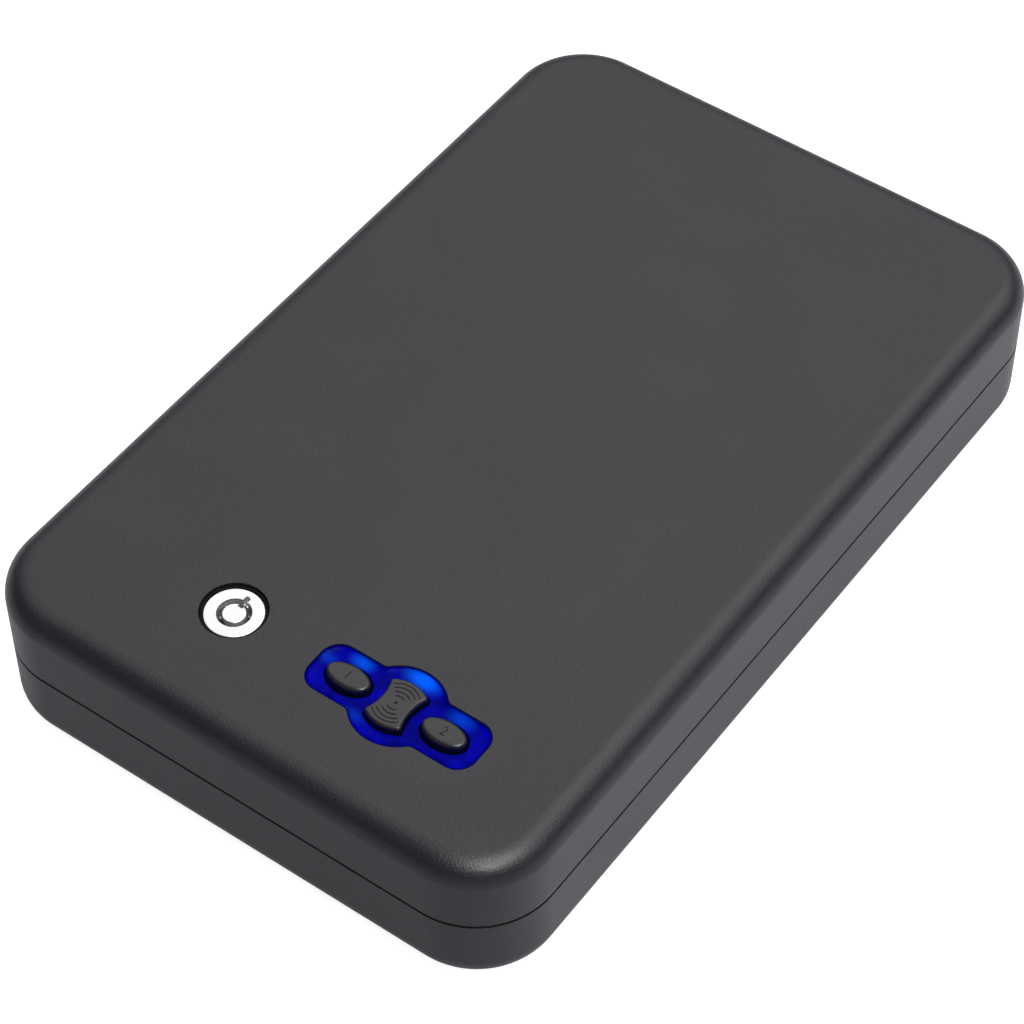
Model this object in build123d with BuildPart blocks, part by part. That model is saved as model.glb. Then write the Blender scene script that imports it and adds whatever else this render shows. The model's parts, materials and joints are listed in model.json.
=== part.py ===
from build123d import *

from math import radians, sin, tan
import os

# Portable safe: a low steel box with rounded corners, its lid hinged along the rear short edge.
# Frame: X to the right, Y to the rear, Z up. The origin is the centre of the underside.
# The user faces the front, which is the short edge at the lowest Y.

# Body
width = 177.0
depth = 279.0
height = 50.0
seam_height = 26.0
seam_gap = 0.4
wall = 1.5
corner_radius = 24.2
lid_edge_radius = 7.5
base_edge_radius = 9.0
inner_x = width / 2 - wall
inner_y = depth / 2 - wall
ceiling = height - wall
cut_length = 20.0

# Hinge, sunk into the rear wall so that nothing stands proud of it
hinge_inset = 2.8
hinge_y = depth / 2 - hinge_inset
hinge_z = seam_height
lid_stop_angle = 97.0
knuckle_radius = 2.6
knuckle_count = 5
knuckle_gap = 0.3
hinge_half_width = 54.8
pin_radius = 1.3
pin_clearance = 0.04
pin_head_radius = 2.2
pin_head_length = 0.7
leaf_thickness = 1.5
leaf_height = 11.9
relief_depth = hinge_inset * tan(radians(lid_stop_angle / 2))
relief_half_width = 76.0
knuckle_notch = 3.3
notch_half_width = 56.0

# Rim, the inner band that closes the seam from inside
rim_thickness = 1.5
rim_clearance = 0.5
rim_bottom = 14.0
rim_top = seam_height + 8.0
rim_hinge_gap = 0.6
rim_rear_y = hinge_y - rim_hinge_gap
rim_notch_half_width = 57.5
rim_pad_height = 6.0
rim_pad_width = 8.0
rim_end_pad_width = 4.0
rim_pad_z = 16.0
rim_side_pads = (-80.0, 0.0, 80.0)
rim_front_pads = (-62.0, 62.0)
rim_rear_pads = (-61.0, 61.0)

# Mounting holes in the floor
mount_hole_radius = 3.25
mount_spacing_x = 100.0
mount_spacing_y = 180.0

# Foam pads
foam_thickness = 5.0
foam_gap = 0.5
foam_hole_radius = 8.0
lid_foam_margin = 9.5
lid_foam_front = -43.5
lid_foam_corner = 15.0

# Lock
lock_x = -24.2
lock_y = -104.0
lock_hole_radius = 9.4
lock_face_z = height - 1.1
lock_face_radius = 8.2
lock_bottom_z = 36.0
lock_collar_radius = 9.3
lock_collar_top = height - 0.8
lock_flange_radius = 12.0
lock_flange_thickness = 2.0
lock_face_chamfer = 0.3
lock_nut_across_flats = 20.0
lock_nut_thickness = 3.0
lock_fit = 0.05
keyway_radius = 4.85
keyway_depth = 6.0
post_radius = 3.3
post_top_z = lock_face_z - 0.2
nib_width = 1.65
nib_reach = 1.7
nib_depth = 2.5
post_slot_depth = 0.9
lock_pin_count = 7
lock_pin_radius = 0.6
lock_pin_height = 1.2
plug_clearance = 0.05

# Cam that turns the key's quarter turn into the latch's travel
key_turn_angle = 90.0
latch_travel = 8.0
cam_pin_orbit = latch_travel / (2 * sin(radians(key_turn_angle / 2)))
cam_radius = 9.5
cam_thickness = 2.6
cam_gap = 0.2
tail_side = 5.0
tail_fit = 0.05
cam_pin_radius = 1.4
cam_pin_fit = 0.02
cam_screw_head_radius = 3.4
cam_screw_head_height = 1.0
cam_screw_radius = 1.5
cam_screw_length = 5.0

# Latch plate with its two tongues
latch_thickness = 2.0
latch_gap = 0.4
latch_front_y = -123.5
latch_bar_width = 10.0
latch_left_x = -60.0
latch_right_x = 43.0
tongue_centres = (-52.0, 36.0)
tongue_width = 10.0
tongue_tip_y = -133.5
latch_lobe_half_width = 9.0
latch_lobe_rear_y = -101.5
pin_slot_play = 0.35
pin_slot_end_play = 0.5
guide_centres = ((-42.0, -118.5), (20.0, -118.5))
guide_radius = 2.0
guide_play = 0.15
guide_head_radius = 3.6
guide_head_height = 1.2
guide_head_gap = 0.2

# Strike on the base, which the tongues slide under
strike_thickness = 1.5
strike_tab_thickness = 2.0
strike_tab_start = 6.0
strike_tab_width = 8.0
strike_tab_reach = 8.5
strike_gap = 0.4
strike_half_width = 60.0
strike_bottom = 16.0
strike_screw_x = (-56.0, -16.0, 16.0, 56.0)
strike_screw_z = 21.0
strike_screw_fit = 0.03

# Chassis plate that hangs from the lid and carries the latch and the solenoid
chassis_thickness = 1.5
chassis_left_x = -70.0
chassis_right_x = 70.0
chassis_front_y = -124.5
chassis_rear_y = -85.5
chassis_wing_right_x = -41.0
chassis_wing_rear_y = -75.0
chassis_standoffs = ((-66.0, -119.0), (-66.0, -78.4), (66.0, -119.0), (66.0, -90.0))
standoff_radius = 3.0
standoff_bore = 1.5
screw_radius = 1.45
screw_head_radius = 2.8
screw_head_height = 1.6
screw_reach = 8.0
screw_end_room = 1.0

# Solenoid, whose plunger is fixed to the latch plate
solenoid_left_x = -70.0
solenoid_right_x = -48.0
solenoid_y = -90.0
solenoid_width = 16.0
solenoid_height = 13.3
solenoid_sheet = 1.2
solenoid_floor = 0.6
coil_radius = 6.0
coil_gap = 0.2
plunger_radius = 4.0
plunger_clearance = 0.08
plunger_inner_x = -64.0
plunger_tab_x = -41.0
plunger_tab_width = 6.0
plunger_neck_radius = 2.0
plunger_neck_length = 3.0
spring_wire_radius = 0.4
spring_radius = 5.0
spring_turns = 5

# Keypad
keypad_x = 30.2
keypad_y = -104.0
bezel_length = 53.8
bezel_width = 17.0
bezel_corner = 5.8
bulge_radius = 12.95
bezel_junction = 2.5
bezel_fit = 0.1
bezel_top_z = height - 0.2
dish_depth = 1.2
dish_slope = 2.6
bezel_bottom_z = 46.3
bezel_flange_length = 62.0
bezel_flange_width = 30.0
bezel_flange_corner = 4.0
bezel_post_x = 27.0
bezel_post_y = 11.0
bezel_post_radius = 2.6
bezel_post_bore = 1.25
key_spacing = 15.7
oval_half_length = 7.0
oval_half_width = 4.5
centre_half_length = 8.2
centre_corner_x = 6.3
centre_corner_y = 6.2
centre_waist = 4.9
centre_corner_radius = 0.9
key_top_z = height + 1.0
key_clearance = 0.25
key_edge_radius = 0.8
key_flange = 0.9
key_flange_bottom = 45.2
key_flange_top = 46.0

# Keypad board under the bezel
board_thickness = 1.6
board_top_z = 41.0
switch_side = 6.0
switch_height = 3.2
stem_radius = 1.7
stem_clearance = 0.05
stem_bottom_z = 43.4
stem_hole_depth = 1.6
led_length = 3.2
led_width = 1.6
led_height = 1.9
led_offset_y = 6.5
board_screw_radius = 1.2
board_screw_head_radius = 2.3
board_screw_head_height = 1.4
board_screw_reach = 3.5
antenna_length = 46.0
antenna_width = 26.0
antenna_band = 3.0
antenna_thickness = 0.8
antenna_corner = 6.0

# Battery compartment with four cells in two rows
cell_radius = 7.1
cell_length = 50.0
cell_z = 39.5
cell_row_pitch = 15.2
battery_x = 15.0
battery_y = -68.0
tray_length = 108.0
tray_width = 33.0
tray_wall = 1.2
tray_bottom_z = 31.0
contact_thickness = 0.4
contact_width = 11.0
contact_height = 10.0
button_radius = 2.7
button_length = 1.0

# Battery door, which slides to the rear and then lifts off
door_travel = 12.0
door_margin_x = 4.0
door_margin_y = 3.0
door_thickness = 1.4
door_gap = 0.1
hook_width = 2.0
hook_reach = 2.6
hook_thickness = 1.2
hook_length = 6.0
hook_starts = (-83.0, -70.0)
hook_play = 0.2
grip_count = 5
grip_pitch = 2.4
grip_width = 30.0
grip_depth = 0.5

# Cover over the mechanism
cover_half_width = 80.5
cover_front_y = -126.5
cover_rear_y = -47.0
cover_wall = 1.5
cover_bottom_z = 27.6
cover_front_corner = 12.0
cover_rear_corner = 5.0
cover_slot_play = 0.7
cover_screws = ((-75.5, -104.0), (75.5, -104.0), (-75.5, -54.0), (75.5, -54.0))
battery_opening_x = (-38.0, 68.0)
battery_opening_y = (-84.0, -52.0)

# Control board
control_x = (-71.5, -41.0)
control_y = (-74.0, -51.0)
control_z = 42.0
control_post_radius = 2.2
control_post_inset = 3.0
chip_size = (10.0, 10.0, 1.4)
chip_place = (1.2, 5.6)
relay_size = (7.0, 12.0, 6.0)
relay_place = (10.2, -1.2)
capacitor_radius = 3.2
capacitor_height = 8.0
capacitor_places = ((-7.5, -6.8), (-0.5, -6.8))
buzzer_radius = 5.5
buzzer_height = 5.0
buzzer_place = (-9.6, 4.6)

# Levels that follow from the ones above
seam_low = seam_height - seam_gap / 2
seam_high = seam_height + seam_gap / 2
dish_floor_z = bezel_top_z - dish_depth
cam_top_z = lock_bottom_z - cam_gap
cam_bottom_z = cam_top_z - cam_thickness
latch_top_z = cam_bottom_z - latch_gap
latch_bottom_z = latch_top_z - latch_thickness
chassis_bottom_z = latch_top_z + latch_gap
chassis_top_z = chassis_bottom_z + chassis_thickness
cover_floor_z = cover_bottom_z + cover_wall
strike_tab_bottom = latch_top_z + strike_gap
board_bottom_z = board_top_z - board_thickness
keyway_floor_z = lock_face_z - keyway_depth
keys = ("left", "centre", "right")
key_places = {"left": -key_spacing, "centre": 0.0, "right": key_spacing}
lock_place = (lock_x, lock_y)
keypad_place = (keypad_x, keypad_y)

os.makedirs("parts", exist_ok=True)


# A box from its limits along X, Y and Z, added to or cut from the part being built
def block(x, y, z, mode=Mode.ADD):
    middle = ((x[0] + x[1]) / 2, (y[0] + y[1]) / 2, (z[0] + z[1]) / 2)
    with Locations(middle):
        Box(x[1] - x[0], y[1] - y[0], z[1] - z[0], mode=mode)


# An upright cylinder on a place in plan, between two levels
def column(place, radius, z, mode=Mode.ADD):
    with Locations((place[0], place[1], (z[0] + z[1]) / 2)):
        Cylinder(radius, z[1] - z[0], mode=mode)


# A cylinder along X, between two values of X
def bar_along_x(x, y, z, radius, mode=Mode.ADD):
    with Locations(((x[0] + x[1]) / 2, y, z)):
        Cylinder(radius, x[1] - x[0], rotation=(0, 90, 0), mode=mode)


# Gives a finished piece its name and writes it
def save(part, name):
    part.label = name
    export_step(part, f"parts/{name}.step")


# The keypad's outline: a bar with a round bulge in its middle, drawn in by an inset
def keypad_outline(level, inset):
    with BuildSketch(Plane.XY.offset(level)) as outline:
        with Locations(keypad_place):
            bar_corner = bezel_corner - inset
            RectangleRounded(bezel_length - 2 * inset, bezel_width - 2 * inset, bar_corner)
            Circle(bulge_radius - inset)
        inner_corners = outline.vertices().filter_by(
            lambda v: abs(v.X - keypad_x) < bulge_radius
        )
        fillet(inner_corners, bezel_junction + inset)
    return outline.sketch


# The outline of a key, grown by a margin: an oval at each side, an hourglass in the middle
def key_outline(key, level, margin):
    with BuildSketch(Plane.XY.offset(level)) as outline:
        with Locations((keypad_x + key_places[key], keypad_y)):
            if key == "centre":
                add(centre_key_face(margin))
            else:
                Ellipse(oval_half_length + margin, oval_half_width + margin)
    return outline.sketch


# The middle key's face about its own centre, with round ends and drawn-in sides.
# Its arcs keep their centres as the margin grows, and meet at the corner.
def centre_key_face(margin):
    end_rise = centre_half_length - centre_corner_y
    end_radius = (centre_corner_x**2 + end_rise**2) / (2 * end_rise)
    side_dip = centre_corner_x - centre_waist
    side_radius = (centre_corner_y**2 + side_dip**2) / (2 * side_dip)
    end_centre = centre_half_length - end_radius
    side_centre = centre_waist + side_radius
    span = (side_centre**2 + end_centre**2) ** 0.5
    grown_end = end_radius + margin
    along = (grown_end**2 - (side_radius - margin) ** 2 + span**2) / (2 * span)
    across = (grown_end**2 - along**2) ** 0.5
    corner_x = (along * side_centre + across * end_centre) / span
    corner_y = end_centre + (across * side_centre - along * end_centre) / span
    tip = centre_half_length + margin
    waist = centre_waist + margin
    with BuildSketch() as face:
        with BuildLine():
            ThreePointArc((corner_x, corner_y), (0, tip), (-corner_x, corner_y))
            ThreePointArc((-corner_x, corner_y), (-waist, 0), (-corner_x, -corner_y))
            ThreePointArc((-corner_x, -corner_y), (0, -tip), (corner_x, -corner_y))
            ThreePointArc((corner_x, -corner_y), (waist, 0), (corner_x, corner_y))
        make_face()
        fillet(face.vertices(), centre_corner_radius + margin)
    return face.sketch


# Base shell: rounded tray with a low relief along the rear wall for the hinge
with BuildPart() as base_shell:
    with BuildSketch():
        RectangleRounded(width, depth, corner_radius)
    extrude(amount=seam_low)
    fillet(base_shell.faces().sort_by(Axis.Z)[0].edges(), base_edge_radius)
    offset(amount=-wall, openings=base_shell.faces().sort_by(Axis.Z)[-1])
    relief_x = (-relief_half_width, relief_half_width)
    relief_z = (hinge_z - relief_depth, seam_height)
    block(relief_x, (hinge_y - hinge_inset, depth), relief_z, Mode.SUBTRACT)
    with GridLocations(mount_spacing_x, mount_spacing_y, 2, 2):
        Cylinder(mount_hole_radius, cut_length, mode=Mode.SUBTRACT)
save(base_shell.part, "base_shell")

# Base rim: upright band inside both walls, held off the base wall by pads
rim_outer_x = inner_x - rim_clearance
rim_front_y = -inner_y + rim_clearance
with BuildPart() as base_rim:
    rim_middle = (rim_rear_y + rim_front_y) / 2
    rim_depth = rim_rear_y - rim_front_y
    rim_radius = corner_radius - wall - rim_clearance
    with BuildSketch(Plane.XY.offset(rim_bottom)):
        with Locations((0, rim_middle)):
            RectangleRounded(2 * rim_outer_x, rim_depth, rim_radius)
            RectangleRounded(
                2 * (rim_outer_x - rim_thickness),
                rim_depth - 2 * rim_thickness,
                rim_radius - rim_thickness,
                mode=Mode.SUBTRACT,
            )
    extrude(amount=rim_top - rim_bottom)
    notch_x = (-rim_notch_half_width, rim_notch_half_width)
    notch_z = (hinge_z - knuckle_notch, rim_top)
    block(notch_x, (rim_rear_y - knuckle_notch, depth), notch_z, Mode.SUBTRACT)
    pad_z = (rim_pad_z, rim_pad_z + rim_pad_height)
    for pad_y in rim_side_pads:
        side_y = (pad_y - rim_pad_width / 2, pad_y + rim_pad_width / 2)
        block((rim_outer_x, inner_x), side_y, pad_z)
        block((-inner_x, -rim_outer_x), side_y, pad_z)
    for pad_x in rim_front_pads:
        front_x = (pad_x - rim_end_pad_width / 2, pad_x + rim_end_pad_width / 2)
        block(front_x, (-inner_y, rim_front_y), pad_z)
    for pad_x in rim_rear_pads:
        rear_x = (pad_x - rim_end_pad_width / 2, pad_x + rim_end_pad_width / 2)
        block(rear_x, (rim_rear_y, inner_y), pad_z)
    for screw_x in strike_screw_x:
        with Locations((screw_x, rim_front_y, strike_screw_z)):
            Cylinder(screw_radius, cut_length, rotation=(90, 0, 0), mode=Mode.SUBTRACT)
save(base_rim.part, "base_rim")

# Strike plate: upright plate on the rim's front, with two tabs bent over the tongues' path
strike_front_y = rim_front_y + rim_thickness
strike_back_y = strike_front_y + strike_thickness
strike_top = strike_tab_bottom + strike_tab_thickness
with BuildPart() as strike_plate:
    strike_x = (-strike_half_width, strike_half_width)
    block(strike_x, (strike_front_y, strike_back_y), (strike_bottom, seam_height))
    for tongue_x in tongue_centres:
        tab_x = (tongue_x + strike_tab_start, tongue_x + strike_tab_start + strike_tab_width)
        block(tab_x, (strike_front_y, strike_back_y), (seam_height, strike_top))
        tab_y = (strike_front_y, strike_front_y + strike_tab_reach)
        block(tab_x, tab_y, (strike_tab_bottom, strike_top))
    for screw_x in strike_screw_x:
        with Locations((screw_x, strike_front_y, strike_screw_z)):
            Cylinder(screw_radius, cut_length, rotation=(90, 0, 0), mode=Mode.SUBTRACT)
save(strike_plate.part, "strike_plate")

# Strike screws: button heads on the inside, ending short of the outer wall
with BuildPart() as strike_screws:
    for screw_x in strike_screw_x:
        shank = (rim_front_y, strike_back_y)
        with Locations((screw_x, (shank[0] + shank[1]) / 2, strike_screw_z)):
            radius = screw_radius - strike_screw_fit
            Cylinder(radius, shank[1] - shank[0], rotation=(90, 0, 0))
        with Locations((screw_x, strike_back_y + screw_head_height / 2, strike_screw_z)):
            Cylinder(screw_head_radius, screw_head_height, rotation=(90, 0, 0))
save(strike_screws.part, "strike_screws")

# Hinge barrel: the X spans of its knuckles, which belong by turns to the base and the lid
knuckle_pitch = 2 * hinge_half_width / knuckle_count
knuckle_spans = []
for index in range(knuckle_count):
    start = -hinge_half_width + index * knuckle_pitch
    knuckle_spans.append((start + knuckle_gap / 2, start + knuckle_pitch - knuckle_gap / 2))


# One hinge leaf: a plate flat on the inside of the rear wall, webs and every other knuckle
def hinge_leaf(first_knuckle, side):
    plate_y = (inner_y - leaf_thickness, inner_y)
    plate_z = sorted((hinge_z + side * knuckle_notch, hinge_z + side * (knuckle_notch + leaf_height)))
    web_z = sorted((hinge_z + side * pin_radius, hinge_z + side * knuckle_notch))
    with BuildPart() as leaf:
        block((-hinge_half_width, hinge_half_width), plate_y, plate_z)
        for span in knuckle_spans[first_knuckle::2]:
            bar_along_x(span, hinge_y, hinge_z, knuckle_radius)
            block(span, plate_y, web_z)
        bore = (-hinge_half_width, hinge_half_width)
        bar_along_x(bore, hinge_y, hinge_z, pin_radius + pin_clearance, Mode.SUBTRACT)
    return leaf.part


save(hinge_leaf(0, -1), "hinge_leaf_base")
save(hinge_leaf(1, 1), "hinge_leaf_lid")

# Hinge pin, with a flat head at each end
with BuildPart() as hinge_pin:
    pin_end = hinge_half_width + pin_head_length
    bar_along_x((-pin_end, pin_end), hinge_y, hinge_z, pin_radius)
    bar_along_x((-pin_end, -hinge_half_width), hinge_y, hinge_z, pin_head_radius)
    bar_along_x((hinge_half_width, pin_end), hinge_y, hinge_z, pin_head_radius)
save(hinge_pin.part, "hinge_pin")

# Foam pad on the floor, its lower edge rounded like the shell, with holes over the mounting holes
with BuildPart() as base_foam:
    with BuildSketch(Plane.XY.offset(wall)):
        foam_radius = corner_radius - wall - foam_gap
        RectangleRounded(2 * (inner_x - foam_gap), 2 * (inner_y - foam_gap), foam_radius)
    extrude(amount=2 * base_edge_radius)
    fillet(base_foam.faces().sort_by(Axis.Z)[0].edges(), base_edge_radius - wall)
    split(bisect_by=Plane.XY.offset(wall + foam_thickness), keep=Keep.BOTTOM)
    with GridLocations(mount_spacing_x, mount_spacing_y, 2, 2):
        Cylinder(foam_hole_radius, cut_length, mode=Mode.SUBTRACT)
save(base_foam.part, "base_foam")

# Lid shell: rounded cover with openings for the lock and the keypad, and a notch for the knuckles
with BuildPart() as lid_shell:
    with BuildSketch(Plane.XY.offset(seam_high)):
        RectangleRounded(width, depth, corner_radius)
    extrude(amount=height - seam_high)
    fillet(lid_shell.faces().sort_by(Axis.Z)[-1].edges(), lid_edge_radius)
    offset(amount=-wall, openings=lid_shell.faces().sort_by(Axis.Z)[0])
    notch_x = (-notch_half_width, notch_half_width)
    block(notch_x, (hinge_y, depth), (seam_height, hinge_z + knuckle_notch), Mode.SUBTRACT)
    column(lock_place, lock_hole_radius, (ceiling - wall, height + wall), Mode.SUBTRACT)
    add(keypad_outline(ceiling - wall, 0.0))
    extrude(amount=cut_length, mode=Mode.SUBTRACT)
save(lid_shell.part, "lid_shell")

# Foam pad inside the lid, behind the mechanism
with BuildPart() as lid_foam:
    foam_rear = depth / 2 - lid_foam_margin
    with BuildSketch(Plane.XY.offset(ceiling - foam_thickness)):
        with Locations((0, (foam_rear + lid_foam_front) / 2)):
            foam_width = width - 2 * lid_foam_margin
            RectangleRounded(foam_width, foam_rear - lid_foam_front, lid_foam_corner)
    extrude(amount=foam_thickness)
save(lid_foam.part, "lid_foam")

# Lock housing: round body with the ring-shaped keyway and the notch at its rear side
with BuildPart() as lock_housing:
    column(lock_place, lock_face_radius, (lock_bottom_z, lock_face_z))
    column(lock_place, keyway_radius, (lock_bottom_z, lock_face_z), Mode.SUBTRACT)
    nib_x = (lock_x - nib_width / 2, lock_x + nib_width / 2)
    nib_y = (lock_y + post_radius, lock_y + keyway_radius + nib_reach)
    block(nib_x, nib_y, (lock_face_z - nib_depth, lock_face_z), Mode.SUBTRACT)
    face_edges = lock_housing.edges().group_by(Axis.Z)[-1]
    chamfer(face_edges.sort_by(SortBy.LENGTH)[-1], lock_face_chamfer)
save(lock_housing.part, "lock_housing")

# Lock collar: black ring that centres the lock in the lid, with a flange behind it
with BuildPart() as lock_collar:
    collar_z = (ceiling - lock_flange_thickness, lock_collar_top)
    column(lock_place, lock_collar_radius, collar_z)
    column(lock_place, lock_flange_radius, (collar_z[0], ceiling))
    column(lock_place, lock_face_radius + lock_fit, collar_z, Mode.SUBTRACT)
save(lock_collar.part, "lock_collar")

# Lock nut under the collar
lock_nut_top = ceiling - lock_flange_thickness
with BuildPart() as lock_nut:
    with BuildSketch(Plane.XY.offset(lock_nut_top - lock_nut_thickness)):
        with Locations(lock_place):
            RegularPolygon(lock_nut_across_flats / 2, 6, major_radius=False)
            Circle(lock_face_radius + lock_fit, mode=Mode.SUBTRACT)
    extrude(amount=lock_nut_thickness)
save(lock_nut.part, "lock_nut")

# Lock plug: the post that shows in the keyway, the body under it and the square tail
plug_radius = keyway_radius - plug_clearance
tail_bottom_z = cam_bottom_z + cam_screw_head_height
with BuildPart() as lock_plug:
    column(lock_place, plug_radius, (cam_top_z, keyway_floor_z))
    column(lock_place, post_radius, (keyway_floor_z, post_top_z))
    slot_y = (lock_y + post_radius - post_slot_depth, lock_y + keyway_radius)
    block(nib_x, slot_y, (keyway_floor_z, post_top_z), Mode.SUBTRACT)
    tail_x = (lock_x - tail_side / 2, lock_x + tail_side / 2)
    tail_y = (lock_y - tail_side / 2, lock_y + tail_side / 2)
    block(tail_x, tail_y, (tail_bottom_z, cam_top_z))
    screw_bore_top = tail_bottom_z + cam_screw_length
    column(lock_place, cam_screw_radius, (tail_bottom_z, screw_bore_top), Mode.SUBTRACT)
save(lock_plug.part, "lock_plug")

# Lock pins, standing in the floor of the keyway
with BuildPart() as lock_pins:
    with Locations((lock_x, lock_y, keyway_floor_z + lock_pin_height / 2)):
        with PolarLocations((post_radius + keyway_radius) / 2, lock_pin_count):
            Cylinder(lock_pin_radius, lock_pin_height)
save(lock_pins.part, "lock_pins")

# Cam on the plug's tail, with a recess for its screw and a hole for the drive pin
pin_place = (
    lock_x - cam_pin_orbit * sin(radians(key_turn_angle / 2)),
    lock_y - cam_pin_orbit * sin(radians(key_turn_angle / 2)),
)
with BuildPart() as lock_cam:
    column(lock_place, cam_radius, (cam_bottom_z, cam_top_z))
    hole_x = (tail_x[0] - tail_fit, tail_x[1] + tail_fit)
    hole_y = (tail_y[0] - tail_fit, tail_y[1] + tail_fit)
    block(hole_x, hole_y, (cam_bottom_z, cam_top_z), Mode.SUBTRACT)
    recess_radius = cam_screw_head_radius + lock_fit
    column(lock_place, recess_radius, (cam_bottom_z, tail_bottom_z), Mode.SUBTRACT)
    pin_hole_radius = cam_pin_radius + cam_pin_fit
    column(pin_place, pin_hole_radius, (cam_bottom_z, cam_top_z), Mode.SUBTRACT)
save(lock_cam.part, "lock_cam")

with BuildPart() as cam_pin:
    column(pin_place, cam_pin_radius, (latch_bottom_z, cam_top_z))
save(cam_pin.part, "cam_pin")

with BuildPart() as cam_screw:
    column(lock_place, cam_screw_head_radius, (cam_bottom_z, tail_bottom_z))
    shank_radius = cam_screw_radius - cam_pin_fit
    column(lock_place, shank_radius, (tail_bottom_z, screw_bore_top))
save(cam_screw.part, "cam_screw")

# Latch plate: bar with two tongues, a lobe with the cam pin's slot, and the plunger's tab
orbit_reach = cam_pin_orbit * (1 - sin(radians(key_turn_angle / 2)))
slot_half_width = cam_pin_radius + pin_slot_play
latch_rear_y = latch_front_y + latch_bar_width
plunger_z = chassis_top_z + solenoid_height / 2
plate_z = (latch_bottom_z, latch_top_z)
with BuildPart() as latch_plate:
    block((latch_left_x, latch_right_x), (latch_front_y, latch_rear_y), plate_z)
    for tongue_x in tongue_centres:
        tongue = (tongue_x - tongue_width / 2, tongue_x + tongue_width / 2)
        block(tongue, (tongue_tip_y, latch_front_y), plate_z)
    lobe_x = (pin_place[0] - latch_lobe_half_width, pin_place[0] + latch_lobe_half_width)
    block(lobe_x, (latch_rear_y, latch_lobe_rear_y), plate_z)
    slot_x = (pin_place[0] - slot_half_width, pin_place[0] + slot_half_width)
    slot_low = pin_place[1] - orbit_reach - cam_pin_radius - pin_slot_end_play
    slot_high = pin_place[1] + cam_pin_radius + pin_slot_end_play
    block(slot_x, (slot_low, slot_high), plate_z, Mode.SUBTRACT)
    tab_x = (plunger_tab_x, plunger_tab_x + latch_thickness)
    tab_y = (solenoid_y - plunger_tab_width / 2, solenoid_y + plunger_tab_width / 2)
    block(tab_x, tab_y, (latch_bottom_z, plunger_z + plunger_radius))
    block((plunger_tab_x, lobe_x[0]), (latch_rear_y, solenoid_y + plunger_tab_width / 2), plate_z)
    bar_along_x(tab_x, solenoid_y, plunger_z, plunger_neck_radius + lock_fit, Mode.SUBTRACT)
    for guide_x, guide_y in guide_centres:
        guide_low = guide_x - latch_travel - guide_radius - guide_play
        guide_high = guide_x + guide_radius + guide_play
        guide_slot = (guide_y - guide_radius - guide_play, guide_y + guide_radius + guide_play)
        block((guide_low, guide_high), guide_slot, plate_z, Mode.SUBTRACT)
save(latch_plate.part, "latch_plate")

# Latch guides: shoulder rivets in the chassis, with heads under the latch plate
guide_bottom_z = latch_bottom_z - guide_head_gap
with BuildPart() as latch_guides:
    for guide in guide_centres:
        column(guide, guide_radius, (guide_bottom_z, chassis_top_z))
        column(guide, guide_head_radius, (guide_bottom_z - guide_head_height, guide_bottom_z))
save(latch_guides.part, "latch_guides")

# Chassis plate, cut away around the cam and the plunger's tab
guide_hole_radius = guide_radius + cam_pin_fit
with BuildPart() as chassis_plate:
    chassis_z = (chassis_bottom_z, chassis_top_z)
    block((chassis_left_x, chassis_right_x), (chassis_front_y, chassis_rear_y), chassis_z)
    block((chassis_left_x, chassis_wing_right_x), (chassis_rear_y, chassis_wing_rear_y), chassis_z)
    column(lock_place, cam_radius + latch_gap, chassis_z, Mode.SUBTRACT)
    tab_slot_x = (plunger_tab_x - latch_gap, tab_x[1] + latch_travel + latch_gap)
    tab_slot_y = (tab_y[0] - latch_gap, tab_y[1] + latch_gap)
    block(tab_slot_x, tab_slot_y, chassis_z, Mode.SUBTRACT)
    for place in chassis_standoffs:
        column(place, standoff_bore, chassis_z, Mode.SUBTRACT)
    for guide in guide_centres:
        column(guide, guide_hole_radius, chassis_z, Mode.SUBTRACT)
save(chassis_plate.part, "chassis_plate")

# Standoffs welded under the lid, for the chassis and for the cover
with BuildPart() as lid_standoffs:
    for place in chassis_standoffs:
        column(place, standoff_radius, (chassis_top_z, ceiling))
        column(place, standoff_bore, (chassis_top_z, chassis_top_z + screw_reach), Mode.SUBTRACT)
    for place in cover_screws:
        column(place, standoff_radius, (cover_floor_z, ceiling))
        column(place, standoff_bore, (cover_floor_z, cover_floor_z + screw_reach), Mode.SUBTRACT)
save(lid_standoffs.part, "lid_standoffs")


# A set of upright screws, put in from below, with their heads under a level
def screws_from_below(places, head_top, shank_top):
    with BuildPart() as screws:
        for place in places:
            column(place, screw_head_radius, (head_top - screw_head_height, head_top))
            column(place, screw_radius, (head_top, shank_top))
    return screws.part


chassis_screw_top = chassis_top_z + screw_reach - screw_end_room
cover_screw_top = cover_floor_z + screw_reach - screw_end_room
save(screws_from_below(chassis_standoffs, chassis_bottom_z, chassis_screw_top), "chassis_screws")
save(screws_from_below(cover_screws, cover_bottom_z, cover_screw_top), "cover_screws")

# Solenoid frame: bottom sheet and two end plates, the right one open for the plunger
with BuildPart() as solenoid_frame:
    frame_x = (solenoid_left_x, solenoid_right_x)
    frame_y = (solenoid_y - solenoid_width / 2, solenoid_y + solenoid_width / 2)
    frame_z = (chassis_top_z, chassis_top_z + solenoid_height)
    block(frame_x, frame_y, (frame_z[0], frame_z[0] + solenoid_floor))
    block((frame_x[0], frame_x[0] + solenoid_sheet), frame_y, frame_z)
    block((frame_x[1] - solenoid_sheet, frame_x[1]), frame_y, frame_z)
    open_end = (frame_x[1] - 2 * solenoid_sheet, frame_x[1])
    plunger_bore = plunger_radius + plunger_clearance
    bar_along_x(open_end, solenoid_y, plunger_z, plunger_bore, Mode.SUBTRACT)
save(solenoid_frame.part, "solenoid_frame")

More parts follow.
